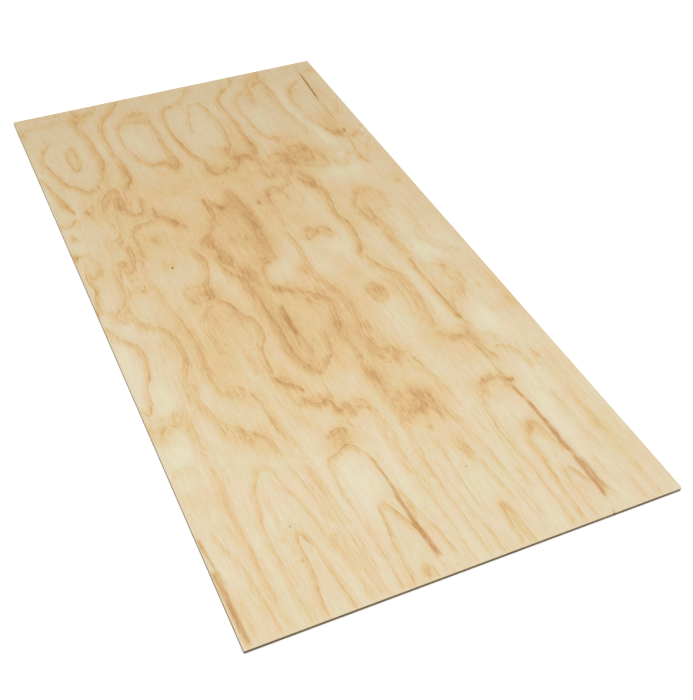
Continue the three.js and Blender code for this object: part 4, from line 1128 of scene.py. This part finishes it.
# Rotary-cut pine veneer, peeled and sanded: soft matt wood, pale between the rings and honey brown in them,
# with fibres that catch a little light along the grain.
pineFace = {
    "stops": ((0.0, "#ece4c8"), (0.25, "#e9d7b7"), (0.5, "#e7c997"), (0.75, "#dcb47d"), (1.0, "#c99a5f")),
    "tints": ("#fcfffa", "#fffcfb"),
    "farShadeTint": "#f3ece0",          # painted shade: the far end a little darker and more yellow, as the light falls off
    "blush": "#dcae8c",            # pinkish resin wood
    "resin": "#ab6636",            # resin streaks
    "resinRed": 0.45,              # how far the reddest streak has that colour
    "resinWarmth": 0.62,           # the wood about a streak is warmer too
    "knot": "#6b381a",
    "roughness": (0.72, 0.56),     # earlywood, latewood
    "relief": (0.25, 0.4),         # strength, and mm of depth
    # noise: mm across, along and through, then detail, roughness and distortion; where a share is made of it,
    # the noise from and to, and the share there
    "noise": {
        # real fibres are under 0.1 mm and would not show
        "fibre": ((3.8, 34.0, 3.8), 3.0, 0.6, 0.0, (0.3, 0.7, 0.6, 1.15)),
        # splinters that break a ring's edge
        "fray": ((5.0, 70.0, 5.0), 2.0, 0.5, 0.0),
        # short flecks, stronger in the latewood
        "fleck": ((6.0, 30.0, 6.0), 3.0, 0.65, 0.0),
        # where a line comes and goes
        "breaks": ((8.0, 110.0, 8.0), 3.0, 0.6, 0.0, (0.34, 0.62, 0.45, 1.2)),
        "streak": ((9.0, 260.0, 9.0), 2.0, 0.5, 0.0),
        "mottle": ((24.0, 52.0, 24.0), 3.0, 0.55, 0.6),
        "curl": ((30.0, 80.0, 30.0), 4.0, 0.6, 1.5, (0.38, 0.60, 0.45, 1.3)),
        # how far a fine ring beside a dark one runs, and its depth
        "lasting": ((50.0, 230.0, 50.0), 2.0, 0.5, 0.0, (0.40, 0.60, 0.0, 0.22)),
        "tint": ((60.0, 130.0, 60.0), 3.0, 0.55, 0.0, (0.38, 0.62, 0.0, 1.0)),
        "unevenness": ((90.0, 200.0, 90.0), 2.0, 0.5, 0.0, (0.40, 0.64, 0.1, 1.0)),
        "wander": ((120.0, 260.0, 120.0), 3.0, 0.5, 0.0),
    },
    "grainDepth": {"fibre": 0.24, "streak": 0.30, "mottle": 0.22},
    "fleckDepth": (0.30, 1.68),    # on bare wood, and as a share of the latewood
    "twinGap": 11.0,               # mm between the fine rings close beside a dark one
    "twinWander": 26.0,            # mm that they stray
    "twinReach": (4.0, 8.0, 12.0, 42.0),     # mm from the dark one: where they begin, are whole, fade and end
    "twinSharpness": 3.5,
    "ringGap": 19.0,               # mm between the fainter rings further off
    "ringWander": 105.0,
    "ringDepth": 0.09,
    "ringSharpness": 2.2,
    "ringMean": 0.3,               # taken off, so that they don't darken the wood
    "ringJag": 9.0,                # mm that the fibres break them all up
    "edgeSize": 0.34,              # how soft the sharp side of a latewood line is, as a share of its width
    "coreSize": 0.6,               # and its dark core
    "bandSize": (0.2, 2.8),        # and where the lighter band beside it begins to fall away, and ends
    "bandShare": 0.68,
    "coreJag": {"fray": 0.3, "fibre": 0.18},     # how far these fray it
    "knotStretch": 1.5,            # times as long as wide
    "knotFray": 0.9,
    "knotFade": (0.55, 1.65),      # where a knot begins to fade, and ends, as a share of its radius
}

# Torn wood in the split, the pit and the chip: rough, dark with dust and resin, splintered along the grain.
tornWood = {
    "deep": "#5c2008",
    "fibre": "#9c4c22",
    "roughness": 0.9,
    "relief": (0.8, 0.8),
    "noise": {
        "splinter": ((0.8, 14.0, 0.8), 4.0, 0.65, 0.0, (0.35, 0.65, 0.0, 1.0)),
    },
}

# The sawn edge of the panel: end grain and long grain in turn, with dark glue lines, dulled by handling.
# Its colours are also darker than the wood's own as painted shade, for the shade on the sheet's sides.
sawnEdge = {
    # darker end grain and dirt, and partly painted shade of the sheet's sides
    "endGrain": ("#93825f", "#6f6147"),
    "longGrain": ("#97875f", "#b3a177"),
    "handled": "#a89a86",
    "glue": "#3d2e1c",
    "glueWidth": 0.15,             # mm; a real glue line is half that
    "glueWaver": 0.24,
    "glueDepth": 0.85,
    "ringSlant": (90.0, 90.0, 420.0),        # how the end grain's rings lean: across, along and up
    "ringSlope": 9.0,              # how far that strays
    "ringCrowd": 1.4,              # how closely they stand
    "ringSharpness": 2.2,
    "ringShade": 0.45,
    "sawStep": 3.2,                # mm between the marks of the saw's teeth
    "sawLean": (1.0, 1.0, 0.12),   # along either side, and how far a mark leans
    "sawDepth": 0.12,
    "sideFacing": 0.7,             # an edge whose normal is more sideways than this is a long side
    "roughness": 0.86,
    "relief": (0.5, 0.4),
    "noise": {
        "pores": ((0.7, 0.7, 0.5), 3.0, 0.7, 0.0, (0.3, 0.7, 0.0, 0.7)),
        "slope": ((60.0, 60.0, 30.0), 2.0, 0.5, 0.0),
        "streaks": ((36.0, 36.0, 0.35), 3.0, 0.6, 0.0, (0.3, 0.7, 0.0, 1.0)),
        "handling": ((70.0, 70.0, 5.0), 3.0, 0.6, 0.0, (0.42, 0.68, 0.0, 0.5)),
        "waver": ((14.0, 14.0, 14.0), 2.0, 0.5, 0.0),
    },
}

# The back: the same pine, peeled further out, less carefully chosen and left with its knots.
pineBack = {
    "stops": ((0.0, "#eadfc1"), (0.45, "#e2cb9c"), (0.8, "#d3a872"), (1.0, "#bd8653")),
    # a knot and its heart: colour, where it begins to fade and ends as a share of a knot's radius, depth
    "knots": (("#5a3722", 0.9, 1.25, 0.85), ("#2f1d13", 0.3, 0.55, 0.8)),
    "knotGap": (300.0, 620.0),     # mm between the places where a knot may stand
    "knotChance": 0.5,
    "knotScatter": 0.85,
    "knotSize": 0.085,             # as a share of that gap
    "knotFray": 0.02,
    "knotLift": (0.42, 0.34),      # how far about it, and how high, the rings rise to a knot
    "ringGap": 0.055,              # height between rings
    "ringStray": 0.05,
    "ringSharpness": 2.2,
    "ringShade": 0.42,
    "broadShade": 0.2,
    "roughness": 0.7,
    "relief": (0.3, 0.4),
    "noise": {
        "fibre": ((2.6, 110.0, 2.6), 3.0, 0.6, 0.0, (0.3, 0.7, 0.1, 0.32)),
        # one swell of the rings
        "broad": ((330.0, 1500.0, 330.0), 3.0, 0.42, 0.3, (0.35, 0.65, 0.0, 1.0)),
        "slope": ((26.0, 190.0, 26.0), 2.0, 0.5, 0.0),
    },
}


# Starts a material: what adds a node to it, where each point is, the noise that its table asks for, and the
# shares that are made of it
def startMaterial(name, noiseTable):
    material, tree = newMaterial(name)
    add = partial(addNode, tree)
    place = add("TexCoord").outputs["Object"]
    noise, share = {}, {}
    for pattern, (size, detail, roughness, distortion, *spread) in noiseTable.items():
        scaled = add("VectorMath", place, [metre / s for s in size], operation="MULTIPLY")
        noise[pattern] = add("TexNoise", scaled, Scale=1.0, Detail=detail, Roughness=roughness,
                             Distortion=distortion).outputs[0]
        if spread:
            share[pattern] = add("MapRange", noise[pattern], *spread[0])
    return material, add, place, noise, share


# Rings rise slowly to latewood and end sharply; the value runs from 0 to 1 and back to 0 once a ring
def ringProfile(add, phase, sharpness):
    share = add("Math", phase, operation="FRACT")
    turning = 0.8        # the share of a ring over which it rises
    rise = add("Math", add("MapRange", share, 0.0, turning, 0.0, 1.0), sharpness, operation="POWER")
    fall = add("MapRange", share, turning, 1.0, 1.0, 0.0)
    return add("Math", rise, fall, operation="MULTIPLY")


# The colour of wood by its warmth, from 0 in the palest earlywood to 1 in the darkest latewood
def woodColour(add, warmth, stops):
    ramp = add("ValToRGB", warmth)
    while len(ramp.color_ramp.elements) < len(stops):
        ramp.color_ramp.elements.new(0.5)
    for element, (position, colour) in zip(ramp.color_ramp.elements, stops):
        element.position = position
        element.color = linearColour(colour)
    return ramp.outputs[0]


# Matt wood with a fine relief
def finishWood(add, colour, roughness, height, relief):
    strength, depth = relief
    bump = add("Bump", Height=height, Strength=strength, Distance=depth * millimetre)
    surface = add("BsdfPrincipled", Normal=bump, Roughness=roughness, IOR=1.45,
                  **{"Base Color": colour, "Specular IOR Level": 0.35})
    add("OutputMaterial", surface)


# Fine rings beside the dark ones, and fainter ones that wander over the rest
def fineRings(add, noise, share, gap):
    jagged = add("Math", noise["fray"], pineFace["ringJag"], gap, operation="MULTIPLY_ADD")
    strayed = add("Math", noise["wander"], pineFace["ringWander"], jagged, operation="MULTIPLY_ADD")
    ring = ringProfile(add, add("Math", strayed, pineFace["ringGap"], operation="DIVIDE"),
                       pineFace["ringSharpness"])
    depth = add("Math", share["unevenness"], pineFace["ringDepth"], operation="MULTIPLY")
    level = add("Math", ring, pineFace["ringMean"], operation="SUBTRACT")
    faint = add("Math", level, depth, operation="MULTIPLY")
    followed = add("Math", noise["mottle"], pineFace["twinWander"], jagged, operation="MULTIPLY_ADD")
    twin = ringProfile(add, add("Math", followed, pineFace["twinGap"], operation="DIVIDE"),
                       pineFace["twinSharpness"])
    begin, whole, fading, end = pineFace["twinReach"]
    near = add("MapRange", gap, begin, whole, 0.0, 1.0)
    far = add("MapRange", gap, fading, end, 1.0, 0.0)
    close = add("Math", near, far, operation="MULTIPLY")
    closest = add("Math", twin, close, operation="MULTIPLY")
    twins = add("Math", closest, share["lasting"], operation="MULTIPLY")
    return add("Math", faint, twins, operation="ADD")


# The crisp cores of the latewood lines: frayed, sharp on one side and softer on the other
def latewoodCores(add, noise, share, side, depth):
    for pattern, jag in pineFace["coreJag"].items():
        centred = add("Math", noise[pattern], 0.5, operation="SUBTRACT")
        side = add("Math", centred, jag, side, operation="MULTIPLY_ADD")
    bandDepth = pineFace["bandShare"]
    sharp = add("MapRange", side, -pineFace["edgeSize"], 0.0, 0.0, 1.0, **smoothly)
    dark = add("MapRange", side, 0.0, pineFace["coreSize"], 1 - bandDepth, 0.0, **smoothly)
    band = add("MapRange", side, *pineFace["bandSize"], bandDepth, 0.0, **smoothly)
    core = add("Math", sharp, add("Math", dark, band, operation="ADD"), operation="MULTIPLY")
    core = add("Math", core, depth, operation="MULTIPLY")
    return add("Math", core, share["breaks"], operation="MULTIPLY")


# How much of a small knot shows at each point, by its distance from the knots and specks
def pinKnotShare(add, place, fibre):
    stretch, fade = pineFace["knotStretch"], pineFace["knotFade"]
    darkest = 0.0
    for x, y, radius, percent in pinKnots:
        right, far = layFlat(x, y)
        centre = ((x + right - rightEdge) * millimetre, (farEdge - y + far) * millimetre, 0.0)
        offset = add("VectorMath", place, centre, operation="SUBTRACT")
        size = (metre / radius, metre / (radius * stretch), 0.0)
        scaled = add("VectorMath", offset, size, operation="MULTIPLY")
        distance = add("VectorMath", scaled, operation="LENGTH")
        ragged = add("Math", fibre, pineFace["knotFray"], distance, operation="MULTIPLY_ADD")
        spot = add("MapRange", ragged, *fade, percent / 100, 0.0, **smoothly)
        darkest = add("Math", darkest, spot, operation="MAXIMUM")
    return darkest


def makePineFace():
    material, add, place, noise, share = startMaterial("pineVeneerFace", pineFace["noise"])
    painted = {name: add("Attribute", attribute_name=name).outputs["Fac"] for name in paintedFields}

    # bare wood: fibres, streaks, mottling, flecks and fine rings
    grain = fineRings(add, noise, share, painted["ringGap"])
    middle = 0.0
    for pattern, depth in pineFace["grainDepth"].items():
        grain = add("Math", noise[pattern], depth, grain, operation="MULTIPLY_ADD")
        middle += depth / 2
    grain = add("Math", grain, middle, operation="SUBTRACT")
    warmth = add("Math", painted["warmth"], grain, operation="ADD")
    fleck = add("Math", noise["fleck"], 0.5, operation="SUBTRACT")
    bareFleck, lateFleck = pineFace["fleckDepth"]
    warmth = add("Math", fleck, bareFleck, warmth, operation="MULTIPLY_ADD")

    # latewood: soft brown places that break up into curls, and the lines
    soft = add("Math", painted["soft"], share["curl"], operation="MULTIPLY")
    core = latewoodCores(add, noise, share, painted["coreSide"], painted["coreDepth"])
    late = add("Math", soft, core, operation="ADD")
    flecked = add("Math", fleck, lateFleck, operation="MULTIPLY")
    late = add("Math", late, flecked, late, operation="MULTIPLY_ADD")
    warmth = add("Math", warmth, late, operation="ADD")

    # resin warms the wood about it, as does the painted shade laid along the split with the resin streaks
    resin = add("Math", painted["resin"], share["fibre"], operation="MULTIPLY")
    warmth = add("Math", resin, pineFace["resinWarmth"], warmth, operation="MULTIPLY_ADD")

    wood = woodColour(add, warmth, pineFace["stops"])
    tint = add("Mix", share["tint"], *pineFace["tints"], **inColour)
    tinted = add("Mix", 1.0, wood, tint, **inColour, blend_type="MULTIPLY")
    blushed = add("Mix", painted["blush"], tinted, pineFace["blush"], **inColour)
    resinSquare = add("Math", resin, resin, operation="MULTIPLY")
    redness = add("Math", resinSquare, pineFace["resinRed"], operation="MULTIPLY")
    resined = add("Mix", redness, blushed, pineFace["resin"], **inColour)
    knotShare = pinKnotShare(add, place, noise["fibre"])
    knotted = add("Mix", knotShare, resined, pineFace["knot"], **inColour)
    # painted shade: the far end is multiplied darker and more yellow, as the light falls off towards it
    farShaded = add("Mix", painted["farShade"], knotted, pineFace["farShadeTint"], **inColour, blend_type="MULTIPLY")
    shine = add("MapRange", warmth, 0.2, 1.0, *pineFace["roughness"])
    finishWood(add, farShaded, shine, noise["fibre"], pineFace["relief"])
    return material


def makeTornWood():
    material, add, _, noise, share = startMaterial("tornPine", tornWood["noise"])
    colour = add("Mix", share["splinter"], tornWood["deep"], tornWood["fibre"], **inColour)
    finishWood(add, colour, tornWood["roughness"], noise["splinter"], tornWood["relief"])
    return material


def makeSawnEdge():
    material, add, place, noise, share = startMaterial("sawnPlywoodEdge", sawnEdge["noise"])
    height = add("Math", add("SeparateXYZ", place).outputs[2], metre, operation="MULTIPLY")
    normal = add("SeparateXYZ", add("NewGeometry").outputs["Normal"])
    facing = add("Math", normal.outputs[0], operation="ABSOLUTE")
    longSide = add("Math", facing, sawnEdge["sideFacing"], operation="GREATER_THAN")
    inner = (sheetThickness - 2 * plies["facePly"]) / 3
    seamPlaces = (inner * 0.5, inner * 1.5)        # mm above and below the sheet's middle
    raised = add("Math", height, sheetThickness / 2, operation="SUBTRACT")
    fromMiddle = add("Math", raised, operation="ABSOLUTE")
    outside = add("Math", fromMiddle, seamPlaces[0], operation="GREATER_THAN")
    inside = add("Math", fromMiddle, seamPlaces[1], operation="LESS_THAN")
    crossPly = add("Math", outside, inside, operation="MULTIPLY")
    longGrain = add("Math", add("Math", crossPly, longSide, operation="SUBTRACT"), operation="ABSOLUTE")

    # end grain is fine dark pores with slanting rings, long grain runs in thin streaks along the side
    slant = add("VectorMath", place, sawnEdge["ringSlant"], operation="DOT_PRODUCT")
    slope = add("Math", noise["slope"], sawnEdge["ringSlope"], slant, operation="MULTIPLY_ADD")
    crowded = add("Math", slope, sawnEdge["ringCrowd"], operation="MULTIPLY")
    rings = ringProfile(add, crowded, sawnEdge["ringSharpness"])
    endShade = add("Math", rings, sawnEdge["ringShade"], share["pores"], operation="MULTIPLY_ADD")
    # the grain colours hold painted shade of the sides as well as the edge's own darker wood
    endColour = add("Mix", endShade, *sawnEdge["endGrain"], **inColour)
    longColour = add("Mix", share["streaks"], *sawnEdge["longGrain"], **inColour)
    wood = add("Mix", longGrain, endColour, longColour, **inColour)
    dirty = add("Mix", share["handling"], wood, sawnEdge["handled"], **inColour, blend_type="MULTIPLY")

    seams = sheetThickness        # further than any seam is
    for seam in seamPlaces:
        fromSeam = add("Math", add("Math", fromMiddle, seam, operation="SUBTRACT"), operation="ABSOLUTE")
        seams = add("Math", seams, fromSeam, operation="MINIMUM")
    wavering = add("Math", noise["waver"], sawnEdge["glueWaver"], seams, operation="MULTIPLY_ADD")
    halfWaver = sawnEdge["glueWaver"] / 2
    glueEnd = halfWaver + sawnEdge["glueWidth"]
    glue = add("MapRange", wavering, halfWaver, glueEnd, sawnEdge["glueDepth"], 0.0, **smoothly)
    glued = add("Mix", glue, dirty, sawnEdge["glue"], **inColour)
    sideways = add("VectorMath", place, sawnEdge["sawLean"], operation="DOT_PRODUCT")
    stroke = add("Math", sideways, 2 * math.pi * metre / sawnEdge["sawStep"], operation="MULTIPLY")
    grain = add("Math", noise["pores"], noise["streaks"], operation="ADD")
    teeth = add("Math", stroke, operation="SINE")
    rough = add("Math", teeth, sawnEdge["sawDepth"], grain, operation="MULTIPLY_ADD")
    finishWood(add, glued, sawnEdge["roughness"], rough, sawnEdge["relief"])
    return material


def makePineBack():
    material, add, place, noise, share = startMaterial("pineVeneerBack", pineBack["noise"])
    across, along = pineBack["knotGap"]
    cell = add("VectorMath", place, (metre / across, metre / along, 0.001), operation="MULTIPLY")
    knots = add("TexVoronoi", cell, Scale=1.0, Randomness=pineBack["knotScatter"])
    chance = add("SeparateColor", knots.outputs["Color"])
    present = add("Math", chance, pineBack["knotChance"], operation="GREATER_THAN")
    ragged = add("Math", noise["fibre"], pineBack["knotFray"], knots, operation="MULTIPLY_ADD")
    liftReach, liftHeight = pineBack["knotLift"]
    lifted = add("MapRange", ragged, 0.0, liftReach, liftHeight, 0.0, **smoothly)
    swell = add("Math", lifted, present, operation="MULTIPLY")
    height = add("Math", noise["slope"], pineBack["ringStray"], noise["broad"], operation="MULTIPLY_ADD")
    height = add("Math", height, swell, operation="ADD")
    phase = add("Math", height, pineBack["ringGap"], operation="DIVIDE")
    ring = ringProfile(add, phase, pineBack["ringSharpness"])
    shade = add("Math", ring, pineBack["ringShade"], share["fibre"], operation="MULTIPLY_ADD")
    warmth = add("Math", share["broad"], pineBack["broadShade"], shade, operation="MULTIPLY_ADD")
    colour = woodColour(add, warmth, pineBack["stops"])
    size = pineBack["knotSize"]
    for knotColour, inner, outer, depth in pineBack["knots"]:
        inKnot = add("MapRange", ragged, size * inner, size * outer, depth, 0.0, **smoothly)
        shown = add("Math", present, inKnot, operation="MULTIPLY")
        colour = add("Mix", shown, colour, knotColour, **inColour)
    finishWood(add, colour, pineBack["roughness"], noise["fibre"], pineBack["relief"])
    return material


pineMaterial = makePineFace()
backMaterial = makePineBack()
tornMaterial = makeTornWood()
edgeMaterial = makeSawnEdge()
print("materials: face, back, sawn edge and torn wood")


# Places of a grid, even from one eased edge to the other
def evenPlaces(edge, count):
    reach = edge - plies["arrisEase"]
    return np.linspace(-reach, reach, count).tolist()


# Every vertex looks the figure up a little to one side of itself, as the fibres waver
def attachFigure(piece):
    random = np.random.default_rng(painting["seed"])
    points = np.empty(len(piece.data.vertices) * 3, np.float32)
    piece.data.vertices.foreach_get("co", points)
    points = points.reshape(-1, 3) / millimetre
    x, y = points[:, 0] + rightEdge, farEdge - points[:, 1]
    shifts = []
    for reach, *layers in (painting["waverAcross"], painting["waverAlong"]):
        waver = sum(share * drift(random, x, y, cellX, cellY) for cellX, cellY, share in layers)
        shifts.append(reach * waver)
    right, far = layFlat(x, y)
    fields, xs, ys = paintFields()
    for name, field in fields.items():
        value = lookUp(field, xs, ys, x - right + shifts[0], y + far + shifts[1])
        attribute = piece.data.attributes.new(name, "FLOAT", "POINT")
        attribute.data.foreach_set("value", value.astype(np.float32))


# Windows in the grid that let it meet the rounded corners
def cornerWindows():
    windows = []
    for (sx, sy), radius in zip(cornerSigns, outline["cornerRadii"]):
        reach = radius + outline["cornerWindow"]
        xs = sorted((sx * rightEdge, sx * (rightEdge - reach)))
        ys = sorted((sy * farEdge, sy * (farEdge - reach)))
        windows.append(((xs[0], ys[0]), (xs[1], ys[1]), None))
    return windows


# Rings from the top of an edge to its bottom, joined by walls
def addEdge(shell, stations, levels, kind):
    rings = [shell.ring(ringPoints(stations, *level)) for level in levels]
    for upper, lower in zip(rings, rings[1:]):
        shell.wall(upper, lower, kind)


# The same ring without its height
def flatPoints(*ring):
    return [tuple(p[:2]) for p in ringPoints(*ring)]


# The better face, with rows closest together at the near end, and open at the split, the pit and the chip
def makeFaceVeneer():
    ease = plies["arrisEase"]
    columns = evenPlaces(rightEdge, plies["faceColumns"])
    pitches = np.linspace(1.0, plies["rowStretch"], plies["faceRows"] - 1)
    reached = np.concatenate([[0.0], np.cumsum(pitches)]) / pitches.sum()
    rows = ((2 * reached - 1) * (farEdge - ease)).tolist()
    stations = outlineStations(columns, rows, True)
    random = np.random.default_rng(outline["splitSeed"])
    split = splitLoop(1.0, random)
    splitFloor = splitLoop(outline["floorShare"], random)
    pit = pitLoop()

    windows = cornerWindows()
    chip = outline["chipPlace"]
    besideChip, inFromChip = plies["chipWindow"]
    windows.append(((chip - besideChip, -farEdge), (chip + besideChip, -farEdge + inFromChip), None))
    gap = plies["windowGap"]
    for loop in (split, pit):
        xs, ys = zip(*loop)
        windows.append(((min(xs) - gap, min(ys) - gap), (max(xs) + gap, max(ys) + gap), loop))

    top, bottom = sheetThickness, sheetThickness - plies["facePly"]
    shell = Shell()
    shell.grid(columns, rows, top, flatPoints(stations, ease, top), windows, 0)
    saw = np.random.default_rng(plies["sawSeed"]).uniform(0.0, plies["sawDepth"], len(stations))
    rounded = ease * plies["arrisRound"]
    middleShare, footShare = outline["chipTaper"]
    addEdge(shell, stations, ((ease, top), (rounded, top - rounded, middleShare),
                              (saw, top - ease, footShare), (saw, bottom, outline["floorShare"])), 1)
    for mouth, floor in ((split, splitFloor), (pit, pit)):
        upper = shell.ring([(x, y, top) for x, y in mouth])
        lower = shell.ring([(x, y, bottom) for x, y in floor])
        shell.wall(upper, lower, 2)
    underside = flatPoints(stations, saw, bottom, outline["floorShare"])
    shell.fill([underside, splitFloor, pit], [], bottom, 1)
    return shell.toObject("face_veneer", [pineMaterial, edgeMaterial, tornMaterial])


faceVeneer = makeFaceVeneer()
attachFigure(faceVeneer)
print("face veneer: figure painted")


# The three inner plies are one piece, as they are glued for good; the middle one stands out a little
def makeCore():
    columns = evenPlaces(rightEdge, int(sheetWidth / plies["coreStep"]))
    rows = evenPlaces(farEdge, int(sheetLength / plies["coreStep"]))
    stations = outlineStations(columns, rows, False)
    low, high = plies["facePly"], sheetThickness - plies["facePly"]
    third = (high - low) / 3
    inset, middleInset, slope = plies["coreInset"], plies["crossInset"], plies["crossSlope"]
    shell = Shell()
    addEdge(shell, stations, ((inset, high), (inset, high - third), (middleInset, high - third - slope),
                              (middleInset, low + third + slope), (inset, low + third), (inset, low)), 0)
    for height in (high, low):
        shell.fill([flatPoints(stations, inset, height)], [], height, 0)
    return shell.toObject("inner_plies", [edgeMaterial])


core = makeCore()
print("inner plies stacked")


# The back lies on the floor, its arris eased like that of the face
def makeBackVeneer():
    ease = plies["arrisEase"]
    columns = evenPlaces(rightEdge, plies["backColumns"])
    rows = evenPlaces(farEdge, plies["backRows"])
    stations = outlineStations(columns, rows, False)
    shell = Shell()
    shell.grid(columns, rows, 0.0, flatPoints(stations, ease, 0.0), cornerWindows(), 0)
    rounded = ease * plies["arrisRound"]
    addEdge(shell, stations, ((ease, 0.0), (rounded, rounded), (0.0, ease), (0.0, plies["facePly"])), 1)
    shell.fill([flatPoints(stations, 0.0, plies["facePly"])], [], plies["facePly"], 1)
    return shell.toObject("back_veneer", [backMaterial, edgeMaterial])


backVeneer = makeBackVeneer()
for piece in (faceVeneer, core, backVeneer):
    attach(piece, "root")
    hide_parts("plywood_sheet")
